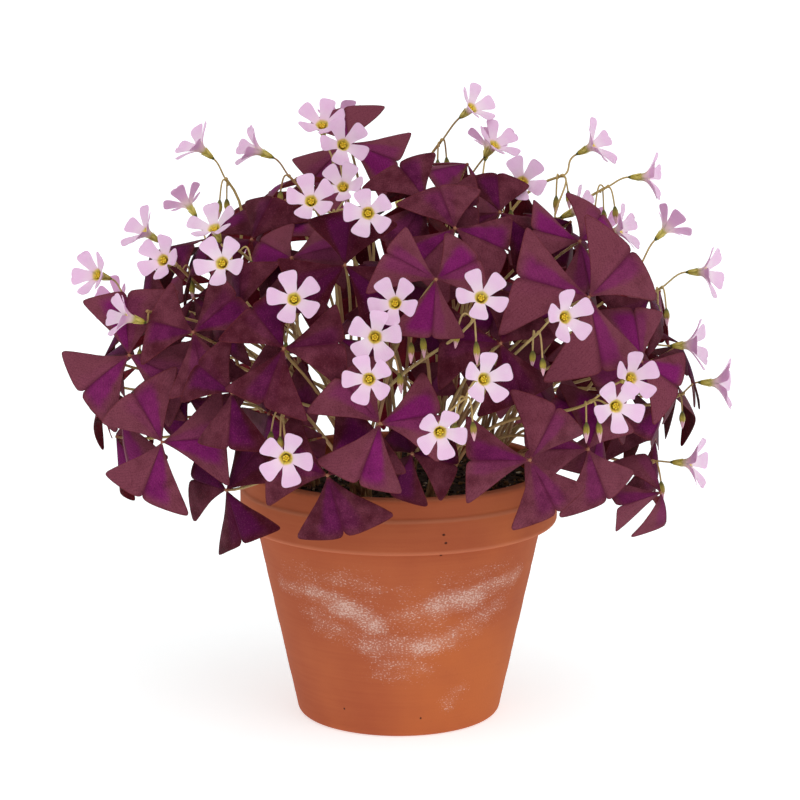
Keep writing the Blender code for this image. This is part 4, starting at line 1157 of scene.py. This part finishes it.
# Place of the joint, the number of buds, then each bloom as its place, the way it faces in degrees aside
# and up, and its distance in front of the dome in mm
FRONT_SPRAYS = (
    ((150, 312), 1, (((128, 318), (-68, 18), 26),)),
    ((538, 333), 2, (((565, 317), (28, 12), 12),)),
    ((652, 462), 1, (((690, 463), (70, 2), 14),)),
    ((128, 303), 1, (((97, 275), (-42, 18), 12),)),
    ((180, 268), 1, (((145, 232), (-65, 35), -3), ((163, 260), (-25, 22), 13))),
    ((227, 180), 2, (((199, 147), (-72, 40), 4),)),
    ((238, 250), 1, (((222, 263), (-15, 24), 18), ((214, 228), (-30, 55), 2))),
    ((290, 177), 2, (((256, 150), (-78, 25), 6),)),
    ((333, 160), 1, (((322, 124), (-5, 48), -5), ((343, 144), (15, 24), 11))),
    ((335, 215), 1, (((311, 201), (0, 28), 16), ((343, 187), (-6, 34), 1), ((368, 213), (0, 8), 18))),
    ((296, 320), 1, (((294, 299), (2, 22), 12),)),
    ((413, 320), 2, (((395, 303), (-12, 22), 10),)),
    ((384, 356), 1, (((375, 337), (0, 12), 7), ((369, 379), (-8, 8), 16))),
    ((283, 415), 2, (((286, 458), (0, 2), 14),)),
    ((472, 323), 2, (((478, 303), (6, 30), 10),)),
    ((466, 398), 2, (((484, 379), (22, 14), 10), ((440, 432), (8, 0), 14))),
    ((441, 141), 2, (((472, 108), (50, 35), -2),)),
    ((463, 188), 1, (((495, 145), (50, 45), 2),)),
    ((507, 196), 2, (((522, 182), (4, 24), 8),)),
    ((561, 176), 2, (((593, 146), (70, 28), -4), ((578, 210), (72, 25), 0))),
    ((607, 187), 3, (((648, 177), (78, 2), 0),)),
    ((588, 252), 1, (((620, 230), (74, 20), 4),)),
    ((661, 288), 2, (((705, 272), (68, 4), 2),)),
    ((648, 345), 1, (((690, 345), (75, 5), 4),)),
    ((682, 394), 1, (((718, 383), (80, 0), 4),)),
    ((590, 402), 2, (((631, 378), (28, 20), 5), ((616, 406), (16, 8), 19))),
)
# Turn round the dome from the right in degrees, and height as a share of the dome's
BACK_SPRAYS = (
    (148, 0.05), (136, 0.42), (122, 0.2), (107, 0.78),
    (90, 0.4), (68, 0.66), (48, 0.3), (30, 0.35),
)
BACK_REACH = 26 * MM
BACK_LIFT = 6 * MM
SEED = 20
FOREMOST_LEAVES = 5
# How the front leaves and the others face: the pull to the front against the way out of the dome, the least
# slope up in degrees, and the share of the dome's slope there that is added to it
FRONT_POSE = (0.8, 15, 0.3)
BACK_POSE = (0, 24, 0.45)
FRONT_TRIES = 700
BACK_TRIES = 150
# The other leaves: how many places are tried on the dome, spread evenly by steps of the height and the turn
LEAF_PLACES = 76
DOME_TOP = 0.97
DOME_SPAN = 1.4
LEAF_SIZES = (30 * MM, 36 * MM)
HUB_SPACING = 25 * MM
EVEN_HEIGHTS = 0.7548776662
EVEN_TURNS = 0.5698402910
SAME_PLACE = 0.01 * MM
# How far in or out of the dome the search moves a leaf and a spray, in mm, how far at most a leaf strays
# from there, and how many degrees it leans and turns
LEAF_SHIFT = (-40, 9)
SPRAY_SHIFT = (-3, 16)
LEAF_STRAY = 9 * MM
LEAF_LEAN = 25
LEAF_TURN = 18
# How far their stalks bow and lean as shares of their length, and how much a leaf may shrink
LEAF_BOW = 0.3
SPRAY_BOW = 0.5
SPRAY_LEAN = (-0.1, 0.6)
LEAF_SHRINK = 0.2
# Just under how many of the nearest crowns a leaf and a spray may come to grow from
LEAF_CROWNS = 3.99
SPRAY_CROWNS = 5.99
SEEDS = 10**6
# A stalk's crown is the one nearest this share of the way out to its end
CROWN_SHARE = 0.42


def sight(place):
    """The eye, and the direction in which it sees this place of the front view."""
    across = (place[0] - VIEW_CENTRE) / VIEW_FOCAL
    down = (place[1] - VIEW_CENTRE) / VIEW_FOCAL
    ahead = Vector((0, cos(PLACES_RISE), -sin(PLACES_RISE)))
    above = Vector((0, sin(PLACES_RISE), cos(PLACES_RISE)))
    ray = (ahead + Vector((1, 0, 0)) * across - above * down).normalized()
    return VIEW_AIM - ahead * VIEW_DISTANCE, ray


def seen_beside(place, point):
    """The point that shows at this place of the front view and is nearest to another point."""
    eye, ray = sight(place)
    return eye + ray * ray.dot(point - eye)


def seen_at(place, depth):
    """The point on the dome that shows at this place of the front view, moved this far behind the dome."""
    eye, ray = sight(place)
    start = Vector([(eye[i] - DOME_CENTRE[i]) / DOME_RADII[i] for i in range(3)])
    step = Vector([ray[i] / DOME_RADII[i] for i in range(3)])
    middle = -start.dot(step) / step.length_squared
    inside = middle * middle - (start.length_squared - 1) / step.length_squared
    return eye + ray * (middle - sqrt(max(inside, 0)) + depth)


def on_dome(turn, height):
    """The point of the dome at a turn from the right in degrees and a height as a share of the dome's."""
    flat = sqrt(1 - height * height)
    way = Vector((cos(radians(turn)) * flat, sin(radians(turn)) * flat, height))
    return DOME_CENTRE + Vector([way[k] * DOME_RADII[k] for k in range(3)])


def facing(aside, up):
    """A direction: 0, 0 is towards the front, aside turns it to the right and up raises it, in radians."""
    return Vector((sin(aside) * cos(up), -cos(aside) * cos(up), sin(up)))


def leaf_normal(point, pose, lean_aside, lean_up):
    """The way the face of a leaf looks from a point of the dome, in its pose and leant by these degrees."""
    out = outward(point)
    pull, least, share = pose
    level = atan2(out.x, pull - out.y) + radians(lean_aside)
    slope = radians(least + lean_up) + share * asin(out.z)
    return facing(level, slope)


corners = [
    vertex.co.copy()
    for name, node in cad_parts.items()
    if name.startswith(("crown", "bloom"))
    for vertex in node.data.vertices
]
corner_tree = KDTree(len(corners))
for n, corner in enumerate(corners):
    corner_tree.insert(corner, n)
corner_tree.balance()
stalk_count = [0] * len(CROWNS)


def crowns_for(point):
    """The crowns, from the one that a stalk to this point would grow from, with fuller ones later."""
    flat = Vector((point.x, point.y, 0)) * CROWN_SHARE
    return sorted(range(len(CROWNS)), key=lambda i: (CROWNS[i] - flat).length + stalk_count[i] * MM)


def settled(drawn, seed, tries):
    """A list of the first drawn leaf or spray whose ends are corners of the CAD model, or an empty one."""
    chance = random.Random(seed)
    for n in range(tries):
        found = drawn(chance, n / tries)
        if all(corner_tree.find(end)[2] < SAME_PLACE for end in found.ends()):
            stalk_count[found.crown] += 1
            return [found]
    return []


def settled_leaf(place, pose, aside, up, turn, size, seed, tries):
    """The leaf that the model has near this place, if any."""

    def drawn(chance, loose):
        shift = outward(place) * (chance.uniform(*LEAF_SHIFT) * MM * loose)
        strayed = [chance.uniform(-1, 1) for _ in range(3)]
        hub = place + shift + Vector(strayed) * (LEAF_STRAY * loose)
        wander = LEAF_LEAN * loose
        leans = aside + chance.uniform(-wander, wander), up + chance.uniform(-wander, wander)
        normal = leaf_normal(hub, pose, *leans)
        turned = turn + chance.uniform(-LEAF_TURN, LEAF_TURN) * loose
        crown = crowns_for(hub)[int(chance.uniform(0, LEAF_CROWNS) * loose)]
        bow = chance.uniform(-LEAF_BOW, LEAF_BOW) * loose
        furl = chance.uniform(0, 1) * loose
        shrink = 1 - LEAF_SHRINK * chance.uniform(0, loose)
        slot = stalk_count[crown]
        return Leaf(hub, normal, turned, size * shrink, crown, slot, bow, furl, chance.randrange(SEEDS))

    return settled(drawn, seed, tries)


def settled_spray(joint, blooms, bud_count, seed, tries):
    """The spray that the model has near this place, if any."""

    def drawn(chance, loose):
        shift = outward(joint) * (chance.uniform(*SPRAY_SHIFT) * MM * loose)
        moved = [(mouth + shift, axis) for mouth, axis in blooms]
        crown = crowns_for(joint)[int(chance.uniform(0, SPRAY_CROWNS) * loose)]
        bow = chance.uniform(-SPRAY_BOW, SPRAY_BOW) * loose
        lean = chance.uniform(*SPRAY_LEAN)
        slot = stalk_count[crown]
        return Spray(joint + shift, moved, bud_count, crown, slot, bow, lean, chance.randrange(SEEDS))

    return settled(drawn, seed, tries)


def settled_front(rows):
    """The leaves of these rows of FRONT_LEAVES."""
    found = []
    for across, down, turn, size, depth, aside, up in rows:
        place = seen_at((across, down), depth * MM)
        found += settled_leaf(place, FRONT_POSE, aside, up, turn, size * MM, SEED + across, FRONT_TRIES)
    return found


leaves = settled_front(FRONT_LEAVES[:FOREMOST_LEAVES])
sprays = []
for fork, bud_count, seen in FRONT_SPRAYS:
    blooms = []
    for place, way, distance in seen:
        blooms.append((seen_at(place, -distance * MM), facing(*map(radians, way))))
    behind = sum((mouth - axis * FORK_DEPTH for mouth, axis in blooms), Vector()) / len(blooms)
    joint = seen_beside(fork, behind)
    sprays += settled_spray(joint, blooms, bud_count, SEED + fork[0], FRONT_TRIES)
leaves += settled_front(FRONT_LEAVES[FOREMOST_LEAVES:])
for turn, height in BACK_SPRAYS:
    joint = on_dome(turn, height)
    out = (outward(joint) + UP * 0.2).normalized()
    mouth = joint + out * BACK_REACH + UP * BACK_LIFT
    sprays += settled_spray(joint + out * BACK_LIFT, [(mouth, out)], 1, SEED + turn, FRONT_TRIES)
for n in range(LEAF_PLACES):
    height = DOME_TOP - DOME_SPAN * (n * EVEN_HEIGHTS % 1)
    place = on_dome(degrees(tau * (n * EVEN_TURNS % 1)), height)
    if min((leaf.hub - place).length for leaf in leaves) < HUB_SPACING:
        continue
    chance = random.Random(SEED + n)
    turn, size = chance.uniform(0, 120), chance.uniform(*LEAF_SIZES)
    leaves += settled_leaf(place, BACK_POSE, 0, 0, turn, size, SEED + n, BACK_TRIES)
for crown in range(len(CROWNS)):
    leaf_pieces(crown, [leaf for leaf in leaves if leaf.crown == crown])
    spray_pieces(crown, [spray for spray in sprays if spray.crown == crown])
for n, bloom in enumerate(bloom for spray in sprays for bloom in spray.blooms):
    bloom.seed = 100 + n
    flower(n + 1, bloom)


# Studio.
# A wide white sheet as the floor, an even white room and two large soft lamps, the brighter front right.
# The camera stands where the photograph was taken from, a little above the plant.
PICTURE_SIZE = 800
SENSOR_WIDTH = 36
FLOOR_SIZE = 60
VIEW_RISE = 0.2048
floor_mesh = bpy.data.meshes.new("studio_floor")
half = FLOOR_SIZE / 2
floor_corners = [(-half, -half, 0), (half, -half, 0), (half, half, 0), (-half, half, 0)]
floor_mesh.from_pydata(floor_corners, [], [(0, 1, 2, 3)])
floor_white, spot = new_finish("floor_white", {
    "Base Color": (0.77, 0.82, 0.83, 1),
    "Roughness": 0.9,
    "Specular IOR Level": 0.1,
    "Emission Color": (1, 1, 1, 1),
    "Emission Strength": 0.54,
})
floor_mesh.materials.append(floor_white)
floor = bpy.data.objects.new("studio_floor", floor_mesh)
bpy.context.scene.collection.objects.link(floor)

world = bpy.data.worlds.new("white_room")
bpy.context.scene.world = world
world.use_nodes = True
room_light = world.node_tree.nodes["Background"]
room_light.inputs["Color"].default_value = (1, 1, 1, 1)
room_light.inputs["Strength"].default_value = 0.575

for name, source, strength, spread in (
    ("soft_key", Vector((0.5, -0.8, 1.1)), 0.91, 50),
    ("soft_fill", Vector((-0.9, -0.5, 0.8)), 0.35, 70),
):
    lamp = bpy.data.lights.new(name, "SUN")
    lamp.energy = strength
    lamp.angle = radians(spread)
    lamp_object = bpy.data.objects.new(name, lamp)
    lamp_object.rotation_euler = source.to_track_quat("Z", "Y").to_euler()
    bpy.context.scene.collection.objects.link(lamp_object)

camera_data = bpy.data.cameras.new("front_camera")
camera_data.sensor_width = SENSOR_WIDTH
camera_data.lens = SENSOR_WIDTH * VIEW_FOCAL / PICTURE_SIZE
camera_data.clip_end = 100
camera = bpy.data.objects.new("front_camera", camera_data)
camera.location = VIEW_AIM - Vector((0, cos(VIEW_RISE), -sin(VIEW_RISE))) * VIEW_DISTANCE
camera.rotation_euler = (pi / 2 - VIEW_RISE, 0, 0)
bpy.context.scene.collection.objects.link(camera)
bpy.context.scene.camera = camera
bpy.context.scene.view_settings.view_transform = "Standard"
